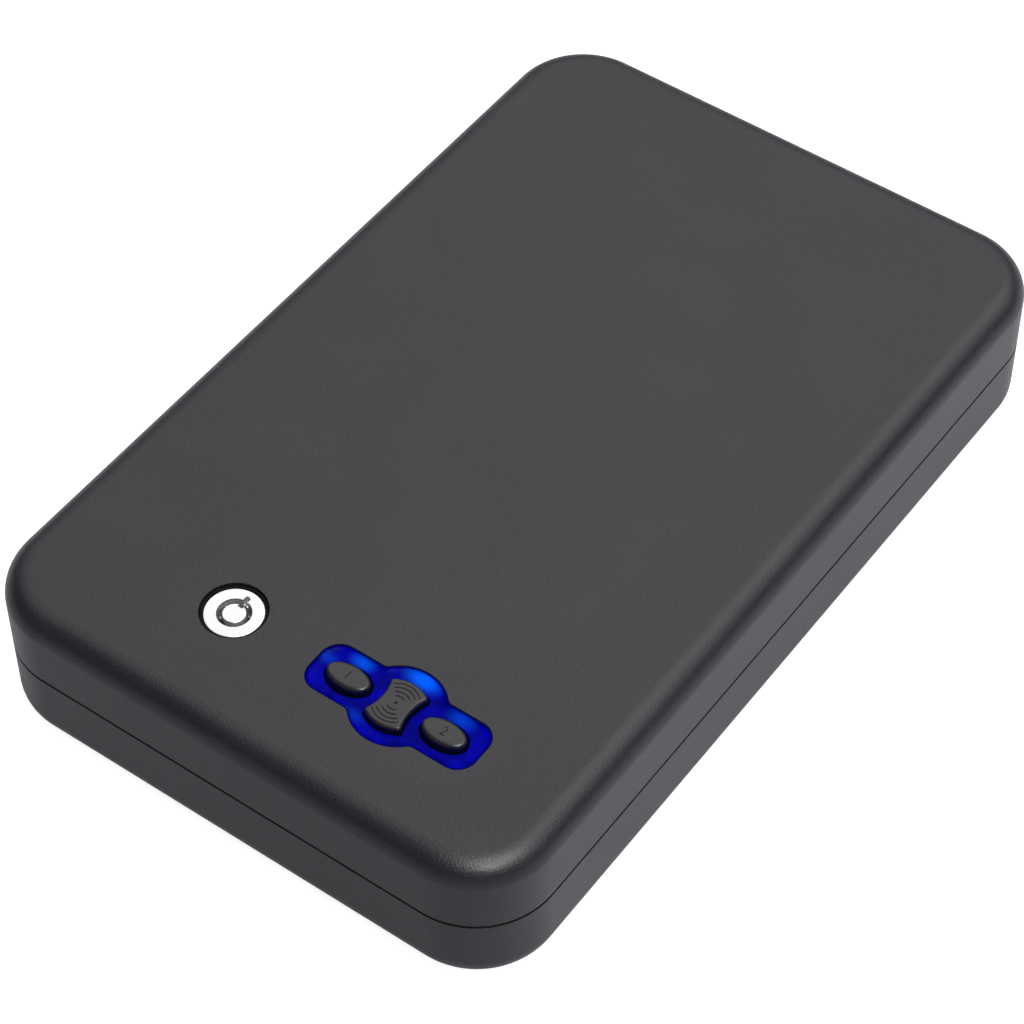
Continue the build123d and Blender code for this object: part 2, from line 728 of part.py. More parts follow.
# Solenoid coil on its bobbin
with BuildPart() as solenoid_coil:
    coil_x = (frame_x[0] + solenoid_sheet, frame_x[1] - solenoid_sheet)
    bar_along_x(coil_x, solenoid_y, plunger_z, coil_radius - coil_gap)
    bar_along_x((coil_x[0], coil_x[0] + solenoid_sheet), solenoid_y, plunger_z, coil_radius - coil_gap / 2)
    bar_along_x((coil_x[1] - solenoid_sheet, coil_x[1]), solenoid_y, plunger_z, coil_radius - coil_gap / 2)
    bore_x = (plunger_inner_x - coil_gap, coil_x[1])
    bar_along_x(bore_x, solenoid_y, plunger_z, plunger_bore, Mode.SUBTRACT)
save(solenoid_coil.part, "solenoid_coil")

with BuildPart() as solenoid_plunger:
    bar_along_x((plunger_inner_x, plunger_tab_x), solenoid_y, plunger_z, plunger_radius)
    neck_x = (plunger_tab_x, plunger_tab_x + plunger_neck_length)
    bar_along_x(neck_x, solenoid_y, plunger_z, plunger_neck_radius)
save(solenoid_plunger.part, "solenoid_plunger")

# Latch spring: coil around the plunger, between the solenoid and the latch plate's tab
spring_length = plunger_tab_x - solenoid_right_x - 4 * spring_wire_radius
spring_start = solenoid_right_x + 2 * spring_wire_radius
with BuildPart() as latch_spring:
    with BuildLine() as spring_path:
        Helix(
            spring_length / spring_turns,
            spring_length,
            spring_radius,
            center=(spring_start, solenoid_y, plunger_z),
            direction=(1, 0, 0),
        )
    with BuildSketch(Plane(spring_path.line @ 0, z_dir=spring_path.line % 0)):
        Circle(spring_wire_radius)
    sweep(path=spring_path.line, is_frenet=True)
save(latch_spring.part, "latch_spring")

# Keypad bezel: dished window around the keys, with a flange and four posts behind the lid
post_places = []
for post_x in (-bezel_post_x, bezel_post_x):
    for post_y in (-bezel_post_y, bezel_post_y):
        post_places.append((keypad_x + post_x, keypad_y + post_y))
with BuildPart() as keypad_bezel:
    with BuildSketch(Plane.XY.offset(bezel_bottom_z)):
        with Locations(keypad_place):
            RectangleRounded(bezel_flange_length, bezel_flange_width, bezel_flange_corner)
    extrude(amount=ceiling - bezel_bottom_z)
    add(keypad_outline(ceiling, bezel_fit))
    extrude(amount=bezel_top_z - ceiling)
    add(keypad_outline(bezel_top_z, bezel_fit))
    add(keypad_outline(dish_floor_z, dish_slope))
    loft(mode=Mode.SUBTRACT)
    for post in post_places:
        column(post, bezel_post_radius, (board_top_z, bezel_bottom_z))
        column(post, bezel_post_bore, (board_top_z, bezel_bottom_z), Mode.SUBTRACT)
    for key in keys:
        add(key_outline(key, bezel_bottom_z, key_clearance))
        extrude(amount=bezel_top_z - bezel_bottom_z, mode=Mode.SUBTRACT)
save(keypad_bezel.part, "keypad_bezel")

# Keys: a cap with a rounded top edge, and a flange that stops it under the bezel
for key in keys:
    with BuildPart() as key_cap:
        add(key_outline(key, key_flange_top, 0.0))
        extrude(amount=key_top_z - key_flange_top)
        fillet(key_cap.faces().sort_by(Axis.Z)[-1].edges(), key_edge_radius)
        add(key_outline(key, key_flange_bottom, key_flange))
        extrude(amount=key_flange_top - key_flange_bottom)
    save(key_cap.part, f"key_{key}")

# Switch stems, one under each key
for key in keys:
    with BuildPart() as stem:
        stem_place = (keypad_x + key_places[key], keypad_y)
        column(stem_place, stem_radius, (stem_bottom_z, key_flange_bottom))
    save(stem.part, f"switch_stem_{key}")

# Switch bodies on the board
with BuildPart() as key_switches:
    switch_top = board_top_z + switch_height
    for key in keys:
        place_x = keypad_x + key_places[key]
        side_x = (place_x - switch_side / 2, place_x + switch_side / 2)
        side_y = (keypad_y - switch_side / 2, keypad_y + switch_side / 2)
        block(side_x, side_y, (board_top_z, switch_top))
        hole = (switch_top - stem_hole_depth, switch_top)
        column((place_x, keypad_y), stem_radius + stem_clearance, hole, Mode.SUBTRACT)
save(key_switches.part, "key_switches")

# Lamps that light the window, one beside each key
with BuildPart() as key_lamps:
    for key in keys:
        place_x = keypad_x + key_places[key]
        lamp_x = (place_x - led_length / 2, place_x + led_length / 2)
        lamp_y = (keypad_y + led_offset_y - led_width / 2, keypad_y + led_offset_y + led_width / 2)
        block(lamp_x, lamp_y, (board_top_z, board_top_z + led_height))
save(key_lamps.part, "key_lamps")

with BuildPart() as keypad_board:
    with BuildSketch(Plane.XY.offset(board_bottom_z)):
        with Locations(keypad_place):
            RectangleRounded(bezel_flange_length, bezel_flange_width, bezel_flange_corner)
    extrude(amount=board_thickness)
    for post in post_places:
        column(post, bezel_post_bore, (board_bottom_z, board_top_z), Mode.SUBTRACT)
save(keypad_board.part, "keypad_board")

# Board screws, put in from below into the bezel's posts
with BuildPart() as keypad_screws:
    for post in post_places:
        head = (board_bottom_z - board_screw_head_height, board_bottom_z)
        column(post, board_screw_head_radius, head)
        column(post, board_screw_radius, (board_bottom_z, board_top_z + board_screw_reach))
save(keypad_screws.part, "keypad_screws")

# Tag reader's antenna: flat coil under the board
with BuildPart() as tag_antenna:
    with BuildSketch(Plane.XY.offset(board_bottom_z - antenna_thickness)):
        with Locations(keypad_place):
            RectangleRounded(antenna_length, antenna_width, antenna_corner)
            RectangleRounded(
                antenna_length - 2 * antenna_band,
                antenna_width - 2 * antenna_band,
                antenna_corner - antenna_band,
                mode=Mode.SUBTRACT,
            )
    extrude(amount=antenna_thickness)
save(tag_antenna.part, "tag_antenna")

# Battery tray: open box fixed under the lid, its mouth facing down
tray_x = (battery_x - tray_length / 2, battery_x + tray_length / 2)
tray_y = (battery_y - tray_width / 2, battery_y + tray_width / 2)
with BuildPart() as battery_tray:
    block(tray_x, tray_y, (tray_bottom_z, ceiling))
    hollow_x = (tray_x[0] + tray_wall, tray_x[1] - tray_wall)
    hollow_y = (tray_y[0] + tray_wall, tray_y[1] - tray_wall)
    block(hollow_x, hollow_y, (tray_bottom_z, ceiling - tray_wall), Mode.SUBTRACT)
save(battery_tray.part, "battery_tray")

# Cells: two rows of two, each with its raised contact button
with BuildPart() as battery_cells:
    for row_y in (battery_y - cell_row_pitch / 2, battery_y + cell_row_pitch / 2):
        for cell_start in (battery_x - cell_length - 2 * button_length, battery_x + button_length / 2):
            cell = (cell_start, cell_start + cell_length)
            bar_along_x(cell, row_y, cell_z, cell_radius)
            button = (cell[1], cell[1] + button_length)
            bar_along_x(button, row_y, cell_z, button_radius)
save(battery_cells.part, "battery_cells")

# Contact plates at both ends of each row
with BuildPart() as battery_contacts:
    for row_y in (battery_y - cell_row_pitch / 2, battery_y + cell_row_pitch / 2):
        contact_y = (row_y - contact_width / 2, row_y + contact_width / 2)
        contact_z = (cell_z - contact_height / 2, cell_z + contact_height / 2)
        block((hollow_x[0], hollow_x[0] + contact_thickness), contact_y, contact_z)
        block((hollow_x[1] - contact_thickness, hollow_x[1]), contact_y, contact_z)
save(battery_contacts.part, "battery_contacts")

# Cover over the mechanism: tray with slots for the tongues and an opening for the cells
with BuildPart() as mechanism_cover:
    cover_middle = (cover_front_y + cover_rear_y) / 2
    cover_depth = cover_rear_y - cover_front_y
    with BuildSketch(Plane.XY.offset(cover_bottom_z)) as cover_outline:
        with Locations((0, cover_middle)):
            Rectangle(2 * cover_half_width, cover_depth)
        fillet(cover_outline.vertices().group_by(Axis.Y)[0], cover_front_corner)
        fillet(cover_outline.vertices().group_by(Axis.Y)[-1], cover_rear_corner)
    extrude(amount=ceiling - cover_bottom_z)
    offset(amount=-cover_wall, openings=mechanism_cover.faces().sort_by(Axis.Z)[-1])
    for tongue_x in tongue_centres:
        slot_reach = tongue_width / 2 + cover_slot_play
        cover_slot_x = (tongue_x - slot_reach, tongue_x + slot_reach + latch_travel)
        cover_slot_y = (cover_front_y, cover_front_y + cover_wall)
        cover_slot_z = (latch_bottom_z - cover_slot_play, latch_top_z + cover_slot_play)
        block(cover_slot_x, cover_slot_y, cover_slot_z, Mode.SUBTRACT)
    floor_z = (cover_bottom_z, cover_floor_z)
    block(battery_opening_x, battery_opening_y, floor_z, Mode.SUBTRACT)
    for hook_start in hook_starts:
        notch_low = hook_start + door_travel - hook_play
        notch_y = (notch_low, notch_low + hook_length + 2 * hook_play)
        notch_reach = hook_reach + hook_play
        left_notch = (battery_opening_x[0] - notch_reach, battery_opening_x[0])
        right_notch = (battery_opening_x[1], battery_opening_x[1] + notch_reach)
        block(left_notch, notch_y, floor_z, Mode.SUBTRACT)
        block(right_notch, notch_y, floor_z, Mode.SUBTRACT)
    for place in cover_screws:
        column(place, standoff_bore, floor_z, Mode.SUBTRACT)
save(mechanism_cover.part, "mechanism_cover")

# Battery door: plate under the cover, with four hooks over the opening's edges and grip ribs
with BuildPart() as battery_door:
    door_x = (battery_opening_x[0] - door_margin_x, battery_opening_x[1] + door_margin_x)
    door_y = (battery_opening_y[0] - door_margin_y, battery_opening_y[1] + door_margin_y)
    door_z = (cover_bottom_z - door_gap - door_thickness, cover_bottom_z - door_gap)
    block(door_x, door_y, door_z)
    hook_z = (cover_floor_z + hook_play, cover_floor_z + hook_play + hook_thickness)
    for hook_start in hook_starts:
        hook_y = (hook_start, hook_start + hook_length)
        left_edge = battery_opening_x[0] + hook_play
        right_edge = battery_opening_x[1] - hook_play
        block((left_edge, left_edge + hook_width), hook_y, (door_z[1], hook_z[1]))
        block((right_edge - hook_width, right_edge), hook_y, (door_z[1], hook_z[1]))
        block((left_edge - hook_reach, left_edge), hook_y, hook_z)
        block((right_edge, right_edge + hook_reach), hook_y, hook_z)
    grip_x = (battery_x - grip_width / 2, battery_x + grip_width / 2)
    for grip in range(grip_count):
        grip_low = door_y[0] + (grip + 1) * grip_pitch
        groove_z = (door_z[0], door_z[0] + grip_depth)
        block(grip_x, (grip_low, grip_low + grip_pitch / 2), groove_z, Mode.SUBTRACT)
save(battery_door.part, "battery_door")

# Control board, hung from the lid on four posts of its own
with BuildPart() as control_board:
    board_z = (control_z, control_z + board_thickness)
    block(control_x, control_y, board_z)
    for post_x in (control_x[0] + control_post_inset, control_x[1] - control_post_inset):
        for post_y in (control_y[0] + control_post_inset, control_y[1] - control_post_inset):
            column((post_x, post_y), control_post_radius / 2, board_z, Mode.SUBTRACT)
save(control_board.part, "control_board")

with BuildPart() as control_posts:
    for post_x in (control_x[0] + control_post_inset, control_x[1] - control_post_inset):
        for post_y in (control_y[0] + control_post_inset, control_y[1] - control_post_inset):
            column((post_x, post_y), control_post_radius, (board_z[1], ceiling))
save(control_posts.part, "control_posts")

# A block under the control board, at a place counted from the board's middle
board_middle = ((control_x[0] + control_x[1]) / 2, (control_y[0] + control_y[1]) / 2)


def board_part(size, place):
    middle_x = board_middle[0] + place[0]
    middle_y = board_middle[1] + place[1]
    part_x = (middle_x - size[0] / 2, middle_x + size[0] / 2)
    part_y = (middle_y - size[1] / 2, middle_y + size[1] / 2)
    block(part_x, part_y, (control_z - size[2], control_z))


# An upright round part under the control board
def round_part(radius, part_height, place):
    middle = (board_middle[0] + place[0], board_middle[1] + place[1])
    column(middle, radius, (control_z - part_height, control_z))


# Processor, relay and two capacitors
with BuildPart() as control_parts:
    board_part(chip_size, chip_place)
    board_part(relay_size, relay_place)
    for place in capacitor_places:
        round_part(capacitor_radius, capacitor_height, place)
save(control_parts.part, "control_parts")

with BuildPart() as buzzer:
    round_part(buzzer_radius, buzzer_height, buzzer_place)
save(buzzer.part, "buzzer")
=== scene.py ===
# Portable safe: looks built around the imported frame. Metres, +X right, +Y rear, +Z up.
import json
import math

import bmesh
import bpy
from mathutils import Matrix


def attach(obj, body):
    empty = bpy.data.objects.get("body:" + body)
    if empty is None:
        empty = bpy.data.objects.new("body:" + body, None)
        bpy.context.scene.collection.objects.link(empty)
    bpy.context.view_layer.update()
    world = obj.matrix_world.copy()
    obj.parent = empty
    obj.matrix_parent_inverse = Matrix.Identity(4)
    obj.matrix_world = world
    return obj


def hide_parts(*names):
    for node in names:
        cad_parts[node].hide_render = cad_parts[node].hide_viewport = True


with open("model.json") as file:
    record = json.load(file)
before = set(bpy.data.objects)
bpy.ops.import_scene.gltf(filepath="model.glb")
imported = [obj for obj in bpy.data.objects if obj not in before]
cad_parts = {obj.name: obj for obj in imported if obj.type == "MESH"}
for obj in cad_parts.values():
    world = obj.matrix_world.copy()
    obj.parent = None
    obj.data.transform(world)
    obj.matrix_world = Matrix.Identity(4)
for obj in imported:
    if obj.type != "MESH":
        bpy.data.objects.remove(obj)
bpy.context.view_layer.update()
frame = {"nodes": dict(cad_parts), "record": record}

millimetre = 0.001
weldDistance = 0.00001
lockPlace = (-24.2, -104.0)
allNodes = frame["nodes"]
scene = bpy.context.scene
scene.view_settings.view_transform = "Standard"
print("frame loaded:", len(allNodes), "nodes")


# Modelling helpers: places, sizes and levels are given to them in millimetres
def metres(*values):
    return tuple(value * millimetre for value in values)


def deselectAll():
    if bpy.context.object and bpy.context.object.mode != "OBJECT":
        bpy.ops.object.mode_set(mode="OBJECT")
    bpy.ops.object.select_all(action="DESELECT")


def activate(piece):
    deselectAll()
    piece.select_set(True)
    bpy.context.view_layer.objects.active = piece


def nameNew(name):
    piece = bpy.context.object
    piece.name = name
    piece.data.name = name
    return piece


# Names a new primitive and moves its place into its mesh
def settleNew(name):
    piece = nameNew(name)
    bpy.ops.object.transform_apply(location=True, rotation=True, scale=True)
    return piece


def editMode(piece, everything=False):
    activate(piece)
    bpy.ops.object.mode_set(mode="EDIT")
    bpy.ops.mesh.select_mode(type="VERT")
    if everything:
        bpy.ops.mesh.select_all(action="SELECT")


def objectMode():
    bpy.ops.object.mode_set(mode="OBJECT")


# Picks parts of the mesh in edit mode by a test on each; returns how many
def pick(piece, kind, test):
    bpy.ops.mesh.select_mode(type=kind)
    bpy.ops.mesh.select_all(action="DESELECT")
    net = bmesh.from_edit_mesh(piece.data)
    layer = {"VERT": net.verts, "EDGE": net.edges, "FACE": net.faces}[kind]
    layer.ensure_lookup_table()
    picked = [item for item in layer if test(item)]
    for item in picked:
        item.select_set(True)
    net.select_flush_mode()
    bmesh.update_edit_mesh(piece.data)
    return len(picked)


def atLevel(level, tolerance=0.02):
    return lambda item: all(abs(v.co.z - level * millimetre) < tolerance * millimetre for v in item.verts)


def bevelPicked(width, steps):
    bpy.ops.mesh.bevel(offset=width * millimetre, segments=steps, affect="EDGES")


def applyModifier(piece, kind, **values):
    activate(piece)
    bpy.ops.object.modifier_add(type=kind)
    modifier = piece.modifiers[-1]
    for key, value in values.items():
        setattr(modifier, key, value)
    bpy.ops.object.modifier_apply(modifier=modifier.name)


def cutWith(piece, cutter, operation="DIFFERENCE"):
    applyModifier(piece, "BOOLEAN", object=cutter, operation=operation, solver="EXACT")
    mesh = cutter.data
    bpy.data.objects.remove(cutter)
    bpy.data.meshes.remove(mesh)


def joinPieces(main, others):
    activate(main)
    for other in others:
        other.select_set(True)
    bpy.ops.object.join()


def mergeClose(piece):
    editMode(piece, everything=True)
    bpy.ops.mesh.remove_doubles(threshold=weldDistance)
    bpy.ops.mesh.normals_make_consistent(inside=False)
    objectMode()


# A block from its limits
def addBlock(name, low, high):
    deselectAll()
    size = [(high[i] - low[i]) * millimetre for i in range(3)]
    middle = [(high[i] + low[i]) / 2 * millimetre for i in range(3)]
    bpy.ops.mesh.primitive_cube_add(size=1, location=middle, scale=size)
    return settleNew(name)


# An upright cylinder between two levels
def addColumn(name, place, radius, levels, sides=64):
    deselectAll()
    bpy.ops.mesh.primitive_cylinder_add(
        vertices=sides, radius=radius * millimetre, depth=(levels[1] - levels[0]) * millimetre,
        location=metres(*place, (levels[0] + levels[1]) / 2),
    )
    return settleNew(name)


# A flat outline drawn from a point by lines and arcs, then filled
def traceOutline(name, start, level, moves):
    deselectAll()
    bpy.ops.mesh.primitive_plane_add(size=1 * millimetre, location=(0, 0, 0))
    piece = nameNew(name)
    editMode(piece, everything=True)
    bpy.ops.mesh.merge(type="CENTER")
    bpy.ops.transform.translate(value=metres(*start, level))
    hereX, hereY = start
    for kind, x, y, *bend in moves:
        if kind == "line":
            bpy.ops.mesh.extrude_region_move(TRANSFORM_OT_translate={"value": metres(x - hereX, y - hereY, 0)})
            hereX, hereY = x, y
        else:
            turn, steps = math.radians(bend[0]), bend[1]
            # Spin turns clockwise for a positive angle
            bpy.ops.mesh.spin(steps=steps, angle=-turn, center=metres(x, y, level), axis=(0, 0, 1))
            offX, offY = hereX - x, hereY - y
            hereX = x + offX * math.cos(turn) - offY * math.sin(turn)
            hereY = y + offX * math.sin(turn) + offY * math.cos(turn)
    bpy.ops.mesh.select_all(action="SELECT")
    bpy.ops.mesh.remove_doubles(threshold=2 * weldDistance)
    bpy.ops.mesh.edge_face_add()
    objectMode()
    return piece


# Raises the picked face by a step, and scales it about a centre
def raiseFace(rise, scale=None, centre=None):
    bpy.ops.mesh.extrude_region_move(TRANSFORM_OT_translate={"value": metres(0, 0, rise)})
    if scale:
        bpy.ops.transform.resize(value=(*scale, 1), center_override=metres(*centre, 0))


# Makes a flat outline an upright prism
def thicken(outline, rise):
    editMode(outline, everything=True)
    raiseFace(rise)
    objectMode()
    mergeClose(outline)
    return outline


# The four places at a half spacing about a centre
def fourPlaces(halfX, halfY, centre=(0.0, 0.0)):
    return [(centre[0] + sideX * halfX, centre[1] + sideY * halfY) for sideX in (-1, 1) for sideY in (-1, 1)]


def setFinish(piece, finish):
    piece.data.materials.clear()
    piece.data.materials.append(finishes[finish])


# Round faces smooth and flat ones flat, then the material, and what the piece rides on and stands for
def finishPiece(piece, angle, finish, body, slot, *nodes):
    activate(piece)
    bpy.ops.object.shade_smooth_by_angle(angle=math.radians(angle))
    applyModifier(piece, "WEIGHTED_NORMAL", keep_sharp=True, weight=50)
    setFinish(piece, finish)
    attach(piece, body)
    if nodes:
        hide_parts(*nodes)


# Shader helpers: a socket takes a plain value or another node's output
def feedNode(tree, node, sockets):
    for label, value in sockets.items():
        if isinstance(value, bpy.types.NodeSocket):
            tree.links.new(value, node.inputs[label])
        else:
            node.inputs[label].default_value = value


def addNode(tree, kind, sockets=None, **settings):
    node = tree.nodes.new("ShaderNode" + kind)
    for key, value in settings.items():
        setattr(node, key, value)
    feedNode(tree, node, sockets or {})
    return node


def mathNode(tree, operation, first, second, clamp=False):
    return addNode(tree, "Math", {0: first, 1: second}, operation=operation, use_clamp=clamp).outputs[0]


def rangeNode(tree, value, low, high, outLow=0.0, outHigh=1.0):
    levels = {"Value": value, "From Min": low, "From Max": high, "To Min": outLow, "To Max": outHigh}
    return addNode(tree, "MapRange", levels, interpolation_type="SMOOTHSTEP").outputs["Result"]


def mixColour(tree, factor, first, second):
    first, second = ((*value, 1.0) if isinstance(value, tuple) else value for value in (first, second))
    return addNode(tree, "Mix", {0: factor, 6: first, 7: second}, data_type="RGBA").outputs[2]


# Lays a colour over another where a mask is, at a share of the mask's strength
def tint(tree, colour, mask, share, over):
    return mixColour(tree, mathNode(tree, "MULTIPLY", mask, share), colour, over)


def objectPlace(tree):
    return addNode(tree, "TexCoord").outputs["Object"]


def levelOf(tree, vector):
    return addNode(tree, "SeparateXYZ", {0: vector}).outputs["Z"]


def noiseNode(tree, place, **settings):
    sockets = {label.capitalize(): value for label, value in settings.items()}
    return addNode(tree, "TexNoise", {"Vector": place, **sockets}).outputs["Fac"]


# A group's inputs come with their defaults
def newGroup(name, inputs, outputs):
    group = bpy.data.node_groups.new(name, "ShaderNodeTree")
    for label, value in inputs.items():
        kind = "NodeSocketVector" if isinstance(value, tuple) else "NodeSocketFloat"
        group.interface.new_socket(name=label, in_out="INPUT", socket_type=kind).default_value = value
    for label in outputs:
        group.interface.new_socket(name=label, in_out="OUTPUT", socket_type="NodeSocketFloat")
    return group, group.nodes.new("NodeGroupInput"), group.nodes.new("NodeGroupOutput")


# Pebbled grain of powder coat and moulded plastic: a height, a soft patchy mask and specks
def makeGrain():
    group, entry, result = newGroup(
        "surfaceGrain", {"Grain Size": 1800.0, "Patch Size": 18.0}, ("Height", "Patches", "Specks")
    )
    place, size = objectPlace(group), entry.outputs["Grain Size"]
    fine = noiseNode(group, place, scale=size, detail=2.0, roughness=0.55)
    cells = addNode(
        group, "TexVoronoi", {"Vector": place, "Scale": size, "Smoothness": 0.6}, feature="SMOOTH_F1"
    )
    patches = noiseNode(group, place, scale=entry.outputs["Patch Size"], detail=3.0)
    bumps = mathNode(group, "MULTIPLY", cells.outputs["Distance"], -0.6)
    feedNode(group, result, {
        "Height": mathNode(group, "ADD", bumps, fine), "Patches": rangeNode(group, patches, 0.35, 0.65),
        "Specks": rangeNode(group, fine, 0.55, 0.72),
    })
    return group


# Rubbed edges: a mask that is 1 on outward corners, broken up by noise
def makeEdgeWear():
    group, entry, result = newGroup("edgeWear", {"Threshold": 0.53, "Breakup": 260.0}, ("Mask",))
    corner = addNode(group, "NewGeometry").outputs["Pointiness"]
    noise = noiseNode(group, objectPlace(group), scale=entry.outputs["Breakup"], detail=4.0)
    above = mathNode(group, "SUBTRACT", corner, entry.outputs["Threshold"])
    sharp = mathNode(group, "MULTIPLY", above, 18.0, clamp=True)
    feedNode(group, result, {"Mask": mathNode(group, "MULTIPLY", sharp, rangeNode(group, noise, 0.35, 0.6))})
    return group


# Fine lines along one axis, as on brushed or drawn metal
def makeBrushed():
    group, entry, result = newGroup(
        "brushedLines", {"Stretch": (3000.0, 60.0, 60.0)}, ("Height", "Streaks", "Clouds")
    )
    place = objectPlace(group)
    stretched = addNode(group, "VectorMath", {0: place, 1: entry.outputs["Stretch"]}, operation="MULTIPLY")
    lines = noiseNode(group, stretched.outputs[0], scale=1.0, detail=4.0)
    clouds = noiseNode(group, place, scale=90.0, detail=3.0)
    feedNode(group, result, {
        "Height": lines, "Streaks": rangeNode(group, lines, 0.3, 0.7),
        "Clouds": rangeNode(group, clouds, 0.35, 0.65),
    })
    return group


# Dust that settles on faces that look up
def makeDust():
    group, entry, result = newGroup("settledDust", {"Spread": 35.0}, ("Mask",))
    upward = rangeNode(group, levelOf(group, addNode(group, "NewGeometry").outputs["Normal"]), 0.4, 1.0)
    noise = noiseNode(group, objectPlace(group), scale=entry.outputs["Spread"], detail=5.0)
    feedNode(group, result, {"Mask": mathNode(group, "MULTIPLY", upward, rangeNode(group, noise, 0.4, 0.7))})
    return group


shaderGroups = {"grain": makeGrain(), "wear": makeEdgeWear(), "brushed": makeBrushed(), "dust": makeDust()}
print("shader groups ready")


# Materials
def newMaterial(name, sockets):
    material = bpy.data.materials.new(name)
    material.use_nodes = True
    tree = material.node_tree
    shader = tree.nodes["Principled BSDF"]
    feedNode(tree, shader, sockets)
    return material, tree, shader


def placeGroup(tree, kind, sockets=None):
    return addNode(tree, "Group", sockets, node_tree=shaderGroups[kind]).outputs


def bumpFrom(tree, shader, height, strength, distance):
    bump = addNode(tree, "Bump", {"Strength": strength, "Distance": distance, "Height": height})
    tree.links.new(bump.outputs["Normal"], shader.inputs["Normal"])


# Painted or moulded surfaces: grain, patches, rubbed edges, a little dust, and for some a painted shade low on
# the sides or along the seam
def makeCoated(name, look):
    material, tree, shader = newMaterial(name, {
        "Specular IOR Level": look.get("specular", 0.5), "Coat Weight": look.get("coat", 0.0),
        "Coat Roughness": look.get("coatRoughness", 0.2),
    })
    sizes = {"Grain Size": look["grainSize"], "Patch Size": look.get("patchSize", 18.0)}
    grain = placeGroup(tree, "grain", sizes)
    colour = mixColour(tree, grain["Patches"], look["body"], look["patch"])
    colour = tint(tree, colour, grain["Specks"], look.get("specks", 0.15), look["speck"])
    colour = tint(tree, colour, placeGroup(tree, "wear")["Mask"], look.get("wear", 0.3), look["worn"])
    colour = tint(tree, colour, placeGroup(tree, "dust")["Mask"], look.get("dust", 0.02), (0.42, 0.41, 0.39))
    if "paintedSideShade" in look:  # painted shade: the keys' sides below a level are darker than their tops
        *foot, share = look["paintedSideShade"]
        low, high = metres(*foot)
        shadedBelow = rangeNode(tree, levelOf(tree, objectPlace(tree)), high, low, 0.0, share)
        colour = mixColour(tree, shadedBelow, colour, (0.001, 0.001, 0.001))
    roughness = rangeNode(tree, grain["Patches"], 0.0, 1.0, *look["roughness"])
    if "paintedSeamShade" in look:  # painted shade on both lips of the seam: black, and with no shine
        level = levelOf(tree, objectPlace(tree))
        start, full, last, end = metres(*look["paintedSeamShade"])
        seamShade = rangeNode(tree, level, start, full)
        seamShade = mathNode(tree, "MULTIPLY", seamShade, rangeNode(tree, level, end, last))
        colour = mixColour(tree, seamShade, colour, (0.0, 0.0, 0.0))
        roughness = mathNode(tree, "MAXIMUM", roughness, seamShade)
        unshaded = mathNode(tree, "SUBTRACT", 1.0, seamShade)
        tree.links.new(mathNode(tree, "MULTIPLY", unshaded, look["coat"]), shader.inputs["Coat Weight"])
    feedNode(tree, shader, {"Base Color": colour, "Roughness": roughness})
    bumpFrom(tree, shader, grain["Height"], look["bump"], look.get("bumpDepth", 0.00012))
    return material


# Plated or brushed metals: fine lines and cloudy roughness
def makeMetal(name, look):
    material, tree, shader = newMaterial(name, {"Metallic": 1.0})
    brushed = placeGroup(tree, "brushed", {"Stretch": look.get("stretch", (3000.0, 60.0, 60.0))})
    wear = placeGroup(tree, "wear", {"Threshold": 0.54})
    colour = mixColour(tree, brushed["Clouds"], look["body"], look["cloud"])
    colour = tint(tree, colour, brushed["Streaks"], look.get("streaks", 0.25), look["streak"])
    colour = tint(tree, colour, wear["Mask"], 0.3, look["worn"])
    roughness = rangeNode(tree, brushed["Clouds"], 0.0, 1.0, *look["roughness"])
    feedNode(tree, shader, {"Base Color": colour, "Roughness": roughness})
    bumpFrom(tree, shader, brushed["Height"], look.get("bump", 0.12), 0.00004)
    return material


# The lock's lathe-turned face: fine rings about its axis
def makeTurned():
    look = {
        "body": (0.9, 0.9, 0.9), "cloud": (0.94, 0.94, 0.935), "ring": (0.98, 0.98, 0.975),
        "worn": (0.98, 0.98, 0.97), "paintedShade": (0.2, 0.2, 0.185), "roughness": (0.17, 0.24),
        "shadeLevels": ((48.5, 48.3), (46.7, 46.5), (46.3, 46.1)), "shadeShare": 0.85, "shadeRoughness": 0.6,
        "rings": {"Scale": 700.0, "Distortion": 1.6, "Detail": 2.0, "Detail Scale": 1.5}, "bump": 0.18,
    }
    material, tree, shader = newMaterial("turnedNickel", {})
    place = objectPlace(tree)
    centre = metres(-lockPlace[0], -lockPlace[1], 0.0)
    centred = addNode(tree, "Mapping", {"Vector": place, "Location": centre}).outputs["Vector"]
    rings = addNode(
        tree, "TexWave", {"Vector": centred, **look["rings"]},
        wave_type="RINGS", rings_direction="Z", wave_profile="SIN",
    ).outputs["Fac"]
    clouds = placeGroup(tree, "brushed", {"Stretch": (600.0, 600.0, 600.0)})["Clouds"]
    wear = placeGroup(tree, "wear", {"Threshold": 0.54})["Mask"]
    colour = mixColour(tree, clouds, look["body"], look["cloud"])
    colour = tint(tree, colour, rings, 0.3, look["ring"])
    colour = tint(tree, colour, wear, 0.3, look["worn"])
    # Painted shade: all that lies below the face is darker, duller and less metallic, but not the notch's floor
    level = levelOf(tree, place)
    masks = [rangeNode(tree, level, *metres(*levels)) for levels in look["shadeLevels"]]
    shadedBelow = mathNode(tree, "ADD", mathNode(tree, "SUBTRACT", masks[0], masks[1]), masks[2], clamp=True)
    paintedShade = mathNode(tree, "MULTIPLY", shadedBelow, look["shadeShare"])
    polish = rangeNode(tree, rings, 0.0, 1.0, *look["roughness"])
    shadedRoughness = mathNode(tree, "MULTIPLY", paintedShade, look["shadeRoughness"])
    feedNode(tree, shader, {
        "Base Color": mixColour(tree, paintedShade, colour, look["paintedShade"]),
        "Metallic": mathNode(tree, "SUBTRACT", 1.0, paintedShade),
        "Roughness": mathNode(tree, "MAXIMUM", polish, shadedRoughness),
    })
    bumpFrom(tree, shader, rings, look["bump"], 0.00003)
    return material


